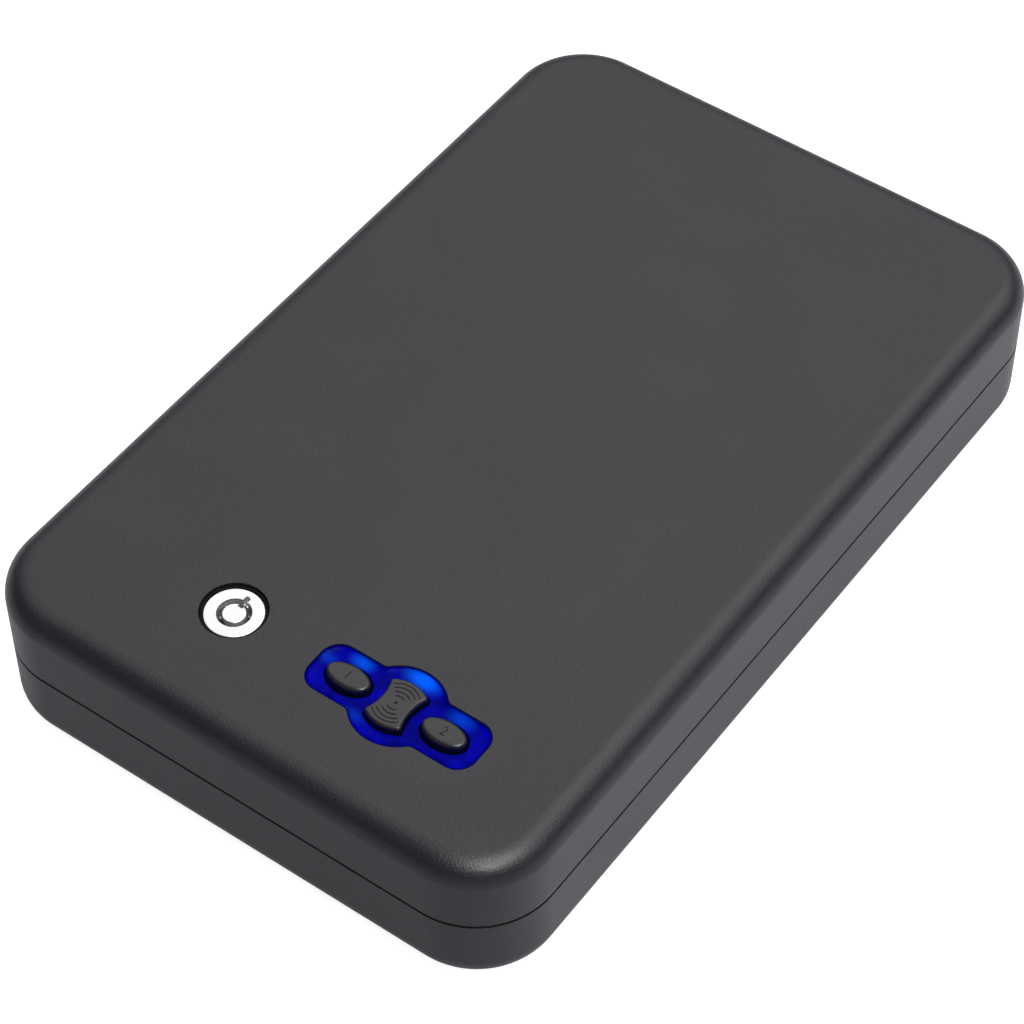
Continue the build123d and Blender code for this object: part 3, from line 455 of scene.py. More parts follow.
# Charcoal foam: open cells at two sizes
def makeFoam():
    look = {
        "body": (0.022, 0.022, 0.024), "pore": (0.006, 0.006, 0.007), "tip": (0.05, 0.05, 0.054),
        "cellScale": 900.0, "poreScale": 380.0, "poreShare": 0.7, "bump": 0.9, "bumpDepth": 0.0005,
    }
    material, tree, shader = newMaterial("charcoalFoam", {
        "Specular IOR Level": 0.15, "Sheen Weight": 0.25, "Sheen Roughness": 0.6, "Roughness": 0.95,
    })
    place = objectPlace(tree)
    cells, pores = (
        addNode(tree, "TexVoronoi", {"Vector": place, "Scale": look[size]}).outputs["Distance"]
        for size in ("cellScale", "poreScale")
    )
    depth = mathNode(tree, "ADD", cells, mathNode(tree, "MULTIPLY", pores, look["poreShare"]))
    colour = mixColour(tree, rangeNode(tree, depth, 0.25, 0.75), look["pore"], look["body"])
    colour = mixColour(tree, rangeNode(tree, depth, 0.75, 1.25), colour, look["tip"])
    dust = placeGroup(tree, "dust", {"Spread": 60.0})["Mask"]
    feedNode(tree, shader, {"Base Color": tint(tree, colour, dust, 0.03, (0.4, 0.4, 0.4))})
    bumpFrom(tree, shader, depth, look["bump"], look["bumpDepth"])
    return material


# Blue window over the lamps: deep blue plastic that glows strongest behind each key
def makeWindow():
    look = {
        "deep": (0.0, 0.0, 0.13), "body": (0.0, 0.0, 0.32), "glow": (0.0, 0.11, 1.0), "rim": (0.0, 0.0, 0.05),
        "gap": (0.0, 0.0, 0.004), "unlit": (0.0, 0.0, 0.02), "unlitShare": 0.9,
        "rimLevels": (49.2, 49.8), "gapLevels": (48.56, 48.45), "lampLevel": 49.0,
        # place in millimetres, reach and strength of each lamp's spot, which is drawn out along the window
        "lamps": (
            (29.6, -92.4, 4.3, 0.8), (32.8, -93.0, 3.8, 0.5), (14.2, -97.3, 3.3, 0.62),
            (46.6, -97.3, 3.7, 0.34), (5.0, -101.2, 3.0, 0.22), (22.4, -112.4, 3.4, 0.16),
        ),
        "spotSquash": 0.6, "hazeScale": 160.0, "bump": 0.05, "bumpDepth": 0.0002,
    }
    material, tree, shader = newMaterial("blueWindow", {
        "Roughness": 0.3, "Specular IOR Level": 0.03, "Coat Weight": 0.0, "IOR": 1.49, "Emission Strength": 1.0,
    })
    place = objectPlace(tree)
    squash = look["spotSquash"]
    squashed = addNode(tree, "VectorMath", {0: place, 1: (squash, 1.0, 1.0)}, operation="MULTIPLY").outputs[0]
    total = None
    for x, y, reach, power in look["lamps"]:
        lamp = metres(squash * x, y, look["lampLevel"])
        away = addNode(tree, "VectorMath", {0: squashed, 1: lamp}, operation="DISTANCE").outputs["Value"]
        near = rangeNode(tree, away, reach * millimetre, 0.0, 0.0, power)
        total = near if total is None else mathNode(tree, "ADD", total, near, clamp=True)
    haze = noiseNode(tree, place, scale=look["hazeScale"])
    level = levelOf(tree, place)
    lit = mixColour(tree, rangeNode(tree, haze, 0.3, 0.7), look["deep"], look["body"])
    lit = mixColour(tree, total, lit, look["glow"])
    # Painted shade: the window is darker and glows less on its steep rim
    lit = mixColour(tree, rangeNode(tree, level, *metres(*look["rimLevels"])), lit, look["rim"])
    # Painted shade: inside the gap round a key the window is near black and gives no glow
    lit = mixColour(tree, rangeNode(tree, level, *metres(*look["gapLevels"])), lit, look["gap"])
    unlit = mixColour(tree, look["unlitShare"], lit, look["unlit"])
    feedNode(tree, shader, {"Base Color": unlit, "Emission Color": lit})
    bumpFrom(tree, shader, haze, look["bump"], look["bumpDepth"])
    return material


coatedLooks = {
    "powderCoat": {
        "body": (0.0095, 0.0087, 0.0128), "patch": (0.0105, 0.0097, 0.014), "speck": (0.025, 0.024, 0.029),
        "worn": (0.035, 0.035, 0.038), "grainSize": 1500.0, "roughness": (0.38, 0.41), "bump": 0.9,
        "specks": 0.25, "wear": 0.25, "dust": 0.006, "coat": 0.35, "coatRoughness": 0.3,
        "paintedSeamShade": (25.42, 25.56, 26.44, 26.58),
    },
    "darkSteel": {
        "body": (0.02, 0.02, 0.022), "patch": (0.023, 0.023, 0.025), "speck": (0.04, 0.04, 0.043),
        "worn": (0.12, 0.12, 0.124), "grainSize": 1700.0, "patchSize": 70.0, "roughness": (0.38, 0.46),
        "bump": 0.2, "wear": 0.5, "dust": 0.015,
    },
    "blackPlastic": {
        "body": (0.017, 0.017, 0.019), "patch": (0.021, 0.021, 0.023), "speck": (0.04, 0.04, 0.042),
        "worn": (0.05, 0.05, 0.052), "grainSize": 2600.0, "roughness": (0.42, 0.52), "bump": 0.22,
        "dust": 0.03,
    },
    "keyPlastic": {
        "body": (0.014, 0.014, 0.0145), "patch": (0.016, 0.016, 0.0165), "speck": (0.03, 0.03, 0.031),
        "worn": (0.035, 0.035, 0.036), "grainSize": 5200.0, "roughness": (0.24, 0.28), "bump": 0.06,
        "bumpDepth": 5e-05, "specks": 0.05, "dust": 0.004, "specular": 0.5, "coat": 0.3,
        "coatRoughness": 0.2, "paintedSideShade": (49.72, 50.47, 0.95),
    },
    "markInk": {
        "body": (0.004, 0.004, 0.004), "patch": (0.006, 0.006, 0.006), "speck": (0.012, 0.012, 0.012),
        "worn": (0.02, 0.02, 0.02), "grainSize": 6000.0, "roughness": (0.5, 0.6), "bump": 0.05,
        "specks": 0.05, "wear": 0.1, "dust": 0.0, "specular": 0.2,
    },
    # Black coat of the band behind the seam, darkened further as painted shade in the seam
    "rimShadeCoat": {
        "body": (0.0045, 0.0045, 0.0055), "patch": (0.006, 0.006, 0.007), "speck": (0.015, 0.015, 0.016),
        "worn": (0.02, 0.02, 0.021), "grainSize": 1400.0, "roughness": (0.5, 0.58), "bump": 0.3,
        "specks": 0.15, "dust": 0.0, "specular": 0.15,
    },
    "lockRing": {
        "body": (0.004, 0.004, 0.005), "patch": (0.006, 0.006, 0.007), "speck": (0.012, 0.012, 0.013),
        "worn": (0.03, 0.03, 0.03), "grainSize": 3400.0, "roughness": (0.5, 0.6), "bump": 0.12,
        "specks": 0.1, "dust": 0.0, "specular": 0.08,
    },
    "greyPlastic": {
        "body": (0.13, 0.132, 0.137), "patch": (0.15, 0.152, 0.157), "speck": (0.2, 0.2, 0.2),
        "worn": (0.25, 0.25, 0.25), "grainSize": 3200.0, "roughness": (0.4, 0.48), "bump": 0.15,
    },
    "epoxy": {
        "body": (0.014, 0.014, 0.015), "patch": (0.02, 0.02, 0.021), "speck": (0.05, 0.05, 0.05),
        "worn": (0.05, 0.05, 0.05), "grainSize": 6000.0, "roughness": (0.35, 0.5), "bump": 0.2,
    },
    "boardGreen": {
        "body": (0.012, 0.12, 0.05), "patch": (0.016, 0.15, 0.065), "speck": (0.05, 0.25, 0.12),
        "worn": (0.45, 0.38, 0.2), "grainSize": 1200.0, "roughness": (0.25, 0.36), "bump": 0.12,
    },
    "clearLamp": {
        "body": (0.75, 0.8, 0.9), "patch": (0.8, 0.85, 0.95), "speck": (0.9, 0.9, 0.95),
        "worn": (0.9, 0.9, 0.95), "grainSize": 4000.0, "roughness": (0.1, 0.18), "bump": 0.05,
    },
}
metalLooks = {
    "zincSteel": {
        "body": (0.3, 0.31, 0.325), "cloud": (0.38, 0.385, 0.395), "streak": (0.46, 0.465, 0.475),
        "worn": (0.6, 0.6, 0.6), "roughness": (0.4, 0.52), "bump": 0.2,
    },
    "brightNickel": {
        "body": (0.66, 0.65, 0.63), "cloud": (0.72, 0.71, 0.69), "streak": (0.8, 0.79, 0.77),
        "worn": (0.85, 0.84, 0.82), "roughness": (0.12, 0.2), "bump": 0.05, "streaks": 0.2,
    },
    "pinSteel": {
        "body": (0.24, 0.24, 0.235), "cloud": (0.32, 0.32, 0.315), "streak": (0.42, 0.42, 0.41),
        "worn": (0.5, 0.5, 0.5), "roughness": (0.4, 0.5),
    },
    "copperWire": {
        "body": (0.55, 0.21, 0.09), "cloud": (0.66, 0.29, 0.13), "streak": (0.78, 0.4, 0.2),
        "worn": (0.8, 0.45, 0.25), "roughness": (0.28, 0.4), "bump": 0.6, "streaks": 0.6,
        "stretch": (5000.0, 40.0, 40.0),
    },
    "cellCase": {
        "body": (0.3, 0.31, 0.33), "cloud": (0.36, 0.37, 0.39), "streak": (0.5, 0.5, 0.52),
        "worn": (0.6, 0.6, 0.6), "roughness": (0.28, 0.38), "bump": 0.05,
    },
}
finishes = {name: makeCoated(name, look) for name, look in coatedLooks.items()}
finishes.update({name: makeMetal(name, look) for name, look in metalLooks.items()})
finishes.update({"turnedNickel": makeTurned(), "foam": makeFoam(), "window": makeWindow()})
finishOfSlot = {
    "powder_coat": "powderCoat", "zinc_steel": "zincSteel", "dark_steel": "darkSteel", "chrome": "brightNickel",
    "black_plastic": "blackPlastic", "key_plastic": "keyPlastic", "blue_window": "window",
    "grey_plastic": "greyPlastic", "foam": "foam", "green_board": "boardGreen", "black_component": "epoxy",
    "lamp_white": "clearLamp", "copper_coil": "copperWire", "cell_case": "cellCase",
}
for subpart in frame["record"]["subparts"]:
    setFinish(allNodes[subpart["node"]], finishOfSlot[subpart["material_slot"]])
setFinish(allNodes["base_rim"], "rimShadeCoat")  # the band behind the seam: a black coat, made darker than the shells' to paint the seam's shade
print("materials ready:", len(finishes))


# The photograph's viewpoint, solved from the outline and the seam
cameraView = {
    "azimuth": 35.3333, "elevation": 49.6006, "roll": -0.2531, "slideRight": -0.0050254,
    "slideDown": 0.0049867, "distance": 0.9702043, "lens": 116.634, "shiftX": -0.0391,
}


def makeCamera():
    view = cameraView
    azimuth, elevation, roll = (math.radians(view[angle]) for angle in ("azimuth", "elevation", "roll"))
    turn = (
        Matrix.Rotation(azimuth, 3, "Z") @ Matrix.Rotation(math.pi / 2 - elevation, 3, "X")
        @ Matrix.Rotation(-roll, 3, "Z")
    )
    right, down, back = turn.col[0], -turn.col[1], turn.col[2]
    spot = back * view["distance"] - right * view["slideRight"] - down * view["slideDown"]
    data = bpy.data.cameras.new("photoCamera")
    data.lens = view["lens"]
    data.sensor_width = 36.0
    data.shift_x = view["shiftX"]
    data.clip_start = 0.01
    camera = bpy.data.objects.new("photoCamera", data)
    scene.collection.objects.link(camera)
    camera.matrix_world = Matrix.Translation(spot) @ turn.to_4x4()
    scene.camera = camera


lightSetup = {
    "base": 0.09,
    # direction (degrees from the front towards the right, elevation), inner and outer radius, strength
    "patches": (
        ((215.4, 59.0), (34.0, 50.0), 0.58),
        ((215.4, 49.6), (5.0, 13.0), 0.55),
        ((66.0, 62.0), (7.0, 28.0), 4.5),
        ((52.0, 47.0), (4.0, 9.0), 12.0),
        ((140.0, 56.0), (18.0, 44.0), 0.95),
    ),
    "floorSize": 6.0, "floorGlow": 0.82, "floorShadeFade": (-172.0, -98.0),
    "floorShadedFront": (0.365, 0.36, 0.385), "floorLitRest": (0.565, 0.56, 0.595),
}


def makeFloor():
    deselectAll()
    bpy.ops.mesh.primitive_plane_add(size=lightSetup["floorSize"], location=(0, 0, 0))
    floor = nameNew("studioFloor")
    material, tree, shader = newMaterial(
        "paleFloor", {"Roughness": 0.6, "Specular IOR Level": 0.2, "Emission Color": (1.0, 1.0, 1.0, 1.0)}
    )
    # Painted shadow: the sheet is darker towards the front, as if shadowed by the safe, and the front wall
    # mirrors it
    depth = addNode(tree, "SeparateXYZ", {0: objectPlace(tree)}).outputs["Y"]
    frontShadow = rangeNode(tree, depth, *metres(*lightSetup["floorShadeFade"]))
    seen = addNode(tree, "LightPath").outputs["Is Camera Ray"]
    feedNode(tree, shader, {
        "Base Color": mixColour(tree, frontShadow, lightSetup["floorShadedFront"], lightSetup["floorLitRest"]),
        "Emission Strength": mathNode(tree, "MULTIPLY", seen, lightSetup["floorGlow"]),
    })
    floor.data.materials.append(material)


def aimDirection(azimuth, elevation):
    a, e = math.radians(azimuth), math.radians(elevation)
    return (math.sin(a) * math.cos(e), -math.cos(a) * math.cos(e), math.sin(e))


def makeWorld():
    world = bpy.data.worlds.new("studioWorld")
    scene.world = world
    world.use_nodes = True
    tree = world.node_tree
    direction = addNode(tree, "TexCoord").outputs["Generated"]
    strength = lightSetup["base"]
    for aim, (inner, outer), power in lightSetup["patches"]:
        along = addNode(tree, "VectorMath", {0: direction, 1: aimDirection(*aim)}, operation="DOT_PRODUCT")
        edges = math.cos(math.radians(outer)), math.cos(math.radians(inner))
        patch = rangeNode(tree, along.outputs["Value"], *edges, 0.0, power)
        strength = mathNode(tree, "ADD", patch, strength)
    # Seen directly, as above the floor's far edge in a low view, the sky is plain white
    seen = addNode(tree, "LightPath").outputs["Is Camera Ray"]
    feedNode(tree, tree.nodes["Background"], {
        "Strength": mathNode(tree, "MAXIMUM", strength, seen), "Color": (1.0, 1.0, 1.0, 1.0),
    })


makeCamera()
makeFloor()
makeWorld()
print("camera, floor and lights ready")


# Dished window under the keys
keypad = {
    "centre": (30.2, -104.0), "shift": (0.55, 0.05), "halfLength": 27.3, "halfWidth": 8.55, "corner": 5.8,
    "bulge": 13.35, "junction": 2.5,
    "wallInset": 0.1, "rimInset": 0.4, "top": 49.8, "floor": 48.6, "dishReach": 2.9, "dishRings": 10,
    "bottom": 46.3, "ceiling": 48.5, "flange": (31.0, 15.0), "flangeCorner": 4.0,
    "posts": (27.0, 11.0), "postRadius": 2.6, "postBore": 1.25, "postFoot": 41.0, "postEnd": 0.3,
    "overcut": 1.0, "smooth": 40, "cornerSteps": 10, "joinSteps": 8, "bulgeSteps": 26,
}


def keypadOutline(name, inset, level):
    k = keypad
    centreX, centreY = k["centre"][0] + k["shift"][0], k["centre"][1] + k["shift"][1]
    halfX, halfY, corner = k["halfLength"] - inset, k["halfWidth"] - inset, k["corner"] - inset
    bulge, junction = k["bulge"] - inset, k["junction"] + inset
    reach = math.sqrt((bulge + junction) ** 2 - (halfY + junction) ** 2)
    lean = math.degrees(math.atan2(halfY + junction, reach))
    moves = []
    for side in (1, -1):  # the right half downwards, then the left half upwards
        cornerX, joinY = centreX + side * (halfX - corner), centreY - side * (halfY + junction)
        moves += [
            ("line", cornerX, centreY + side * halfY),
            ("arc", cornerX, centreY + side * (halfY - corner), -90, k["cornerSteps"]),
            ("line", centreX + side * halfX, centreY - side * (halfY - corner)),
            ("arc", cornerX, centreY - side * (halfY - corner), -90, k["cornerSteps"]),
            ("line", centreX + side * reach, centreY - side * halfY),
            ("arc", centreX + side * reach, joinY, 90 - lean, k["joinSteps"]),
            ("arc", centreX, centreY, 2 * lean - 180, k["bulgeSteps"]),
            ("arc", centreX - side * reach, joinY, 90 - lean, k["joinSteps"]),
        ]
    return traceOutline(name, (centreX + reach, centreY + halfY), level, moves)


def verticalEdge(edge):
    return abs(edge.verts[0].co.z - edge.verts[1].co.z) > millimetre


def roundCorners(piece, radius, steps):
    editMode(piece)
    pick(piece, "EDGE", verticalEdge)
    bevelPicked(radius, steps)
    objectMode()


def makeKeypadWindow():
    k = keypad
    centreX, centreY = k["centre"]
    over = k["overcut"]
    window = thicken(keypadOutline("keypadWindow", k["wallInset"], k["bottom"]), k["top"] - k["bottom"])
    flangeX, flangeY = k["flange"]
    flange = addBlock(
        "windowFlange", (centreX - flangeX, centreY - flangeY, k["bottom"]),
        (centreX + flangeX, centreY + flangeY, k["ceiling"]),
    )
    roundCorners(flange, k["flangeCorner"], steps=8)
    cutWith(window, flange, "UNION")
    # The dish: a hollow of rings that fall steeply at the rim and run out level
    dish = thicken(keypadOutline("dishCutter", k["rimInset"], k["top"]), 3 * over)
    editMode(dish)
    pick(dish, "FACE", atLevel(k["top"]))
    lastReach = lastDrop = 0.0
    for ring in range(1, k["dishRings"] + 1):
        turn = math.pi / 2 * ring / k["dishRings"]
        reach = k["dishReach"] * (1 - math.cos(turn))
        drop = (k["top"] - k["floor"]) * math.sin(turn)
        bpy.ops.mesh.inset(thickness=(reach - lastReach) * millimetre, depth=(drop - lastDrop) * millimetre)
        lastReach, lastDrop = reach, drop
    objectMode()
    cutWith(window, dish)
    for key in keyPlaces:
        levels = (k["bottom"] - over, k["top"] + over)
        cutWith(window, keyPrism(f"{key}Opening", key, keySizes["clearance"], levels))
    posts = []
    for place in fourPlaces(*k["posts"], k["centre"]):
        post = addColumn("windowPost", place, k["postRadius"], (k["postFoot"], k["bottom"]), sides=32)
        levels = (k["postFoot"] - over, k["bottom"] - k["postEnd"])
        cutWith(post, addColumn("postBore", place, k["postBore"], levels, sides=24))
        posts.append(post)
    joinPieces(window, posts)
    finishPiece(window, k["smooth"], "window", "lid", "blue_window", "keypad_bezel")


# The three keys, by their distance from the middle one
keyPlaces = {"left": -15.7, "centre": 0.0, "right": 15.7}
keySizes = {
    "oval": (7.15, 4.6), "ovalTop": (0.925, 0.75), "centreTop": (0.95, 0.965), "endArc": (2.7225, 10.9225),
    "sideArc": (19.3286, 14.4286), "cornerRadius": 0.9, "clearance": 0.4, "flange": 0.9,
    "foot": 45.2, "flangeTop": 46.0, "shoulder": 48.5, "top": 50.92, "edge": 0.75, "edgeSteps": 5, "smooth": 50,
    "endSteps": 28, "cornerSteps": 8, "sideSteps": 18,
}


# The middle key's outline: two round ends, two drawn-in sides and rounded corners
def hourglassOutline(name, margin, level):
    centreX, centreY = keypad["centre"]
    endY, endRadius = keySizes["endArc"]
    sideX, sideRadius = keySizes["sideArc"]
    corner = keySizes["cornerRadius"]
    # Corner centre: inside the end arc and outside the side arc by the corner radius
    inner, outer = endRadius - corner, sideRadius + corner
    span = math.hypot(sideX, endY)
    along = (inner ** 2 - outer ** 2 + span ** 2) / (2 * span)
    across = math.sqrt(inner ** 2 - along ** 2)
    unitX, unitY = sideX / span, endY / span
    cornerX = along * unitX - across * unitY
    cornerY = -endY + along * unitY + across * unitX
    endLean = math.degrees(math.atan2(cornerY + endY, cornerX))
    sideLean = math.degrees(math.atan2(cornerY, sideX - cornerX))
    cornerBend = -(endLean + sideLean), keySizes["cornerSteps"]
    start = (
        centreX - (endRadius + margin) * math.cos(math.radians(endLean)),
        centreY - endY + (endRadius + margin) * math.sin(math.radians(endLean)),
    )
    moves = []
    for side in (1, -1):
        moves += [
            ("arc", centreX, centreY - side * endY, 2 * endLean - 180, keySizes["endSteps"]),
            ("arc", centreX + side * cornerX, centreY + side * cornerY, *cornerBend),
            ("arc", centreX + side * sideX, centreY, 2 * sideLean, keySizes["sideSteps"]),
            ("arc", centreX + side * cornerX, centreY - side * cornerY, *cornerBend),
        ]
    return traceOutline(name, start, level, moves)


# A prism of a key's outline, grown by a margin, between two levels
def keyPrism(name, key, margin, levels):
    centreX, centreY = keypad["centre"]
    if key == "centre":
        prism = hourglassOutline(name, margin, levels[0])
    else:
        deselectAll()
        place = metres(centreX + keyPlaces[key], centreY, levels[0])
        bpy.ops.mesh.primitive_circle_add(vertices=72, radius=millimetre, fill_type="NGON", location=place)
        prism = settleNew(name)
        editMode(prism, everything=True)
        halfX, halfY = keySizes["oval"]
        bpy.ops.transform.resize(value=(halfX + margin, halfY + margin, 1), center_override=place)
        objectMode()
    return thicken(prism, levels[1] - levels[0])


def makeKey(key):
    s = keySizes
    centre = (keypad["centre"][0] + keyPlaces[key], keypad["centre"][1])
    cap = keyPrism(f"{key}KeyCap", key, 0.0, (s["flangeTop"], s["shoulder"]))
    editMode(cap)
    pick(cap, "FACE", atLevel(s["shoulder"]))
    raiseFace(s["top"] - s["shoulder"], s["centreTop"] if key == "centre" else s["ovalTop"], centre)
    bevelPicked(s["edge"], s["edgeSteps"])
    objectMode()
    joinPieces(cap, [keyPrism(f"{key}KeyFlange", key, s["flange"], (s["foot"], s["flangeTop"]))])
    finishPiece(cap, s["smooth"], "keyPlastic", f"{key}_button", "key_plastic", f"key_{key}")


makeKeypadWindow()
for key in keyPlaces:
    makeKey(key)
print("keypad ready")


# Foam pads of both halves
baseFoam = {
    "half": (86.5, 137.5), "corner": 22.2, "bottom": 1.5, "top": 6.5, "lowerEdge": 7.4, "holes": (50.0, 90.0),
    "holeRadius": 8.0, "holeCut": (0.0, 10.0), "voxel": 1.4, "fill": 0.6, "smooth": 60,
    # waves per metre: one swell across by one along, with their starts, and a slanting ripple
    "wave": 0.5, "across": (61.0, 1.3), "along": (47.0, 0.4), "ripple": (133.0, 101.0), "rippleShare": 0.5,
    "waveShare": 0.66, "waveFrom": 0.5,
}
lidFoam = {
    "low": (-79.0, -43.5, 43.5), "high": (79.0, 130.0, 48.5), "corner": 15.0, "voxel": 1.3, "pitch": 14.0,
    "depth": 3.0, "eggFrom": 0.3, "eggOver": 0.5, "fill": 0.6, "smooth": 60,
}


def softenFoam(pad, voxel):
    applyModifier(pad, "REMESH", mode="VOXEL", voxel_size=voxel * millimetre)
    applyModifier(pad, "SMOOTH", factor=0.5, iterations=2)


def makeBaseFoam():
    f = baseFoam
    halfX, halfY = f["half"]
    pad = addBlock("baseFoamPad", (-halfX, -halfY, f["bottom"]), (halfX, halfY, 3 * f["top"]))
    roundCorners(pad, f["corner"], steps=16)
    editMode(pad)
    pick(pad, "EDGE", atLevel(f["bottom"]))
    bevelPicked(f["lowerEdge"], steps=10)
    bpy.ops.mesh.select_all(action="SELECT")
    bpy.ops.mesh.bisect(plane_co=metres(0, 0, f["top"]), plane_no=(0, 0, 1), clear_outer=True, use_fill=True)
    objectMode()
    for place in fourPlaces(*f["holes"]):
        cutWith(pad, addColumn("foamHole", place, f["holeRadius"], f["holeCut"], sides=48))
    softenFoam(pad, f["voxel"])
    # The top is never quite level: long low waves, lowest where things have lain
    (across, acrossStart), (along, alongStart), (rippleX, rippleY) = f["across"], f["along"], f["ripple"]
    for vertex in pad.data.vertices:
        x, y, z = vertex.co
        rise = (z / millimetre - f["bottom"]) / (f["top"] - f["bottom"])
        if rise > f["waveFrom"]:
            swell = math.sin(x * across + acrossStart) * math.sin(y * along + alongStart)
            wave = swell + f["rippleShare"] * math.sin(x * rippleX - y * rippleY)
            vertex.co.z = z - f["wave"] * millimetre * (rise - f["waveFrom"]) * (1.0 + f["waveShare"] * wave)
    finishPiece(pad, f["smooth"], "foam", "base", "foam", "base_foam")


def makeLidFoam():
    f = lidFoam
    pad = addBlock("lidFoamPad", f["low"], f["high"])
    roundCorners(pad, f["corner"], steps=14)
    softenFoam(pad, f["voxel"])
    pitch, top = f["pitch"] * millimetre, f["high"][2]
    for vertex in pad.data.vertices:
        x, y, z = vertex.co
        drop = (top - z / millimetre) / (top - f["low"][2])
        if drop > f["eggFrom"]:
            egg = 0.5 - 0.5 * math.cos(2 * math.pi * x / pitch) * math.cos(2 * math.pi * y / pitch)
            vertex.co.z = z + f["depth"] * millimetre * min(1.0, (drop - f["eggFrom"]) / f["eggOver"]) * egg
    finishPiece(pad, f["smooth"], "foam", "lid", "foam", "lid_foam")


makeBaseFoam()
makeLidFoam()
print("foam pads ready")


# Drawn steel covers
shells = {
    "half": (88.5, 139.5), "corner": 24.2, "top": 50.0, "bottom": 0.0, "seamLow": 25.6, "seamHigh": 26.4,
    "topRadius": 7.5, "bottomRadius": 9.0, "wall": 1.5, "seamRounding": 0.12, "easing": 0.18,
    "lockHole": 9.5, "lockCut": (40.0, 60.0), "keypadCut": (45.0, 55.0), "nearLock": 10.0,
    "nearKeys": (28.0, 14.0), "uprightNormal": 0.3, "lipReach": 0.1, "smooth": 40,
    "knuckleNotch": ((-56.0, 136.7, 26.0), (56.0, 141.0, 29.3)),
    "relief": ((-76.0, 133.9, 22.835), (76.0, 141.0, 27.0)), "mountHoles": (50.0, 90.0), "mountRadius": 3.25,
    "mountCut": (-5.0, 5.0),
}


# A deep rounded tray, its flat end at one level and its open end at the other
def drawnTray(name, flat, opening, radius):
    halfX, halfY = shells["half"]
    corner = shells["corner"]
    tray = addBlock(name, (-halfX, -halfY, min(flat, opening)), (halfX, halfY, max(flat, opening)))
    roundCorners(tray, corner, steps=32)
    editMode(tray)
    pick(tray, "EDGE", atLevel(flat))
    bevelPicked(radius, steps=16)
    pick(tray, "FACE", atLevel(opening))
    bpy.ops.mesh.delete(type="FACE")
    objectMode()
    applyModifier(tray, "SOLIDIFY", thickness=shells["wall"] * millimetre, offset=-1.0, use_even_offset=True)

    def onOutside(v):
        offX, offY = abs(v.co.x) - halfX * millimetre, abs(v.co.y) - halfY * millimetre
        reach = math.hypot(offX + corner * millimetre, offY + corner * millimetre)
        return max(offX, offY) > -weldDistance or reach > (corner - shells["lipReach"]) * millimetre

    # Roll the outer lip of the open end
    level = atLevel(opening)
    editMode(tray)
    pick(tray, "EDGE", lambda e: level(e) and all(onOutside(v) for v in e.verts))
    bevelPicked(shells["seamRounding"], steps=3)
    objectMode()
    return tray


def makeLid():
    lid = drawnTray("lidCover", shells["top"], shells["seamHigh"], shells["topRadius"])
    cutWith(lid, addColumn("lockHole", lockPlace, shells["lockHole"], shells["lockCut"], sides=96))
    cutFoot, cutTop = shells["keypadCut"]
    cutWith(lid, thicken(keypadOutline("keypadOpening", 0.0, cutFoot), cutTop - cutFoot))
    cutWith(lid, addBlock("knuckleNotch", *shells["knuckleNotch"]))
    # Ease the punched edges of both openings
    level = atLevel(shells["top"])
    (lockX, lockY), (keysX, keysY), (reachX, reachY) = lockPlace, keypad["centre"], shells["nearKeys"]

    def nearLock(v):
        return math.hypot(v.co.x / millimetre - lockX, v.co.y / millimetre - lockY) < shells["nearLock"]

    def nearKeys(v):
        return abs(v.co.x / millimetre - keysX) < reachX and abs(v.co.y / millimetre - keysY) < reachY

    def punchedEdge(e):
        onWall = any(abs(f.normal.z) < shells["uprightNormal"] for f in e.link_faces)
        return level(e) and onWall and any(all(near(v) for v in e.verts) for near in (nearLock, nearKeys))

    editMode(lid)
    print("eased edges:", pick(lid, "EDGE", punchedEdge))
    bevelPicked(shells["easing"], steps=2)
    objectMode()
    finishPiece(lid, shells["smooth"], "powderCoat", "lid", "powder_coat", "lid_shell")


def makeBase():
    base = drawnTray("baseTray", shells["bottom"], shells["seamLow"], shells["bottomRadius"])
    cutWith(base, addBlock("hingeRelief", *shells["relief"]))
    for place in fourPlaces(*shells["mountHoles"]):
        cutWith(base, addColumn("mountHole", place, shells["mountRadius"], shells["mountCut"], sides=40))
    finishPiece(base, shells["smooth"], "powderCoat", "base", "powder_coat", "base_shell")


makeLid()
makeBase()
print("shells ready")


# Tubular-key lock: turned face, black ring, post and pins
lock = {
    "faceRadius": 8.45, "faceTop": 48.9, "faceEdge": 0.35, "foot": 36.0,
    "keyway": 4.85, "keywayFloor": 42.9, "keywayEdge": 0.12, "notchWidth": 1.65, "notchReach": 6.55,
    "notchFloor": 46.4, "notchCorner": 0.25, "ringRadius": 9.45, "ringTop": 49.2, "ringEdges": (0.3, 0.12),
    "flangeRadius": 12.0, "flange": (46.5, 48.5), "ringBore": 8.5,
    "postRadius": 3.3, "postTop": 48.7, "postEdge": 0.2, "pocketDepth": 0.9,
    "plugRadius": 4.8, "plugFoot": 35.8, "rimReach": 0.03, "smooth": 40,
    "tailHalf": 2.5, "tailFoot": 34.2, "screwBore": (1.5, 30.0, 39.2), "openFoot": 40.0, "openTop": 60.0,
    "pins": 7, "pinRadius": 0.62, "pinTop": 46.0, "pinEdge": 0.15, "overcut": 5.0, "overlap": 1.0,
}


def roundRim(piece, level, reach, width, steps=3):
    x, y = lockPlace
    onLevel = atLevel(level)

    def onRim(v):
        return abs(math.hypot(v.co.x / millimetre - x, v.co.y / millimetre - y) - reach) < lock["rimReach"]

    editMode(piece)
    pick(piece, "EDGE", lambda e: onLevel(e) and all(onRim(v) for v in e.verts))
    bevelPicked(width, steps)
    objectMode()


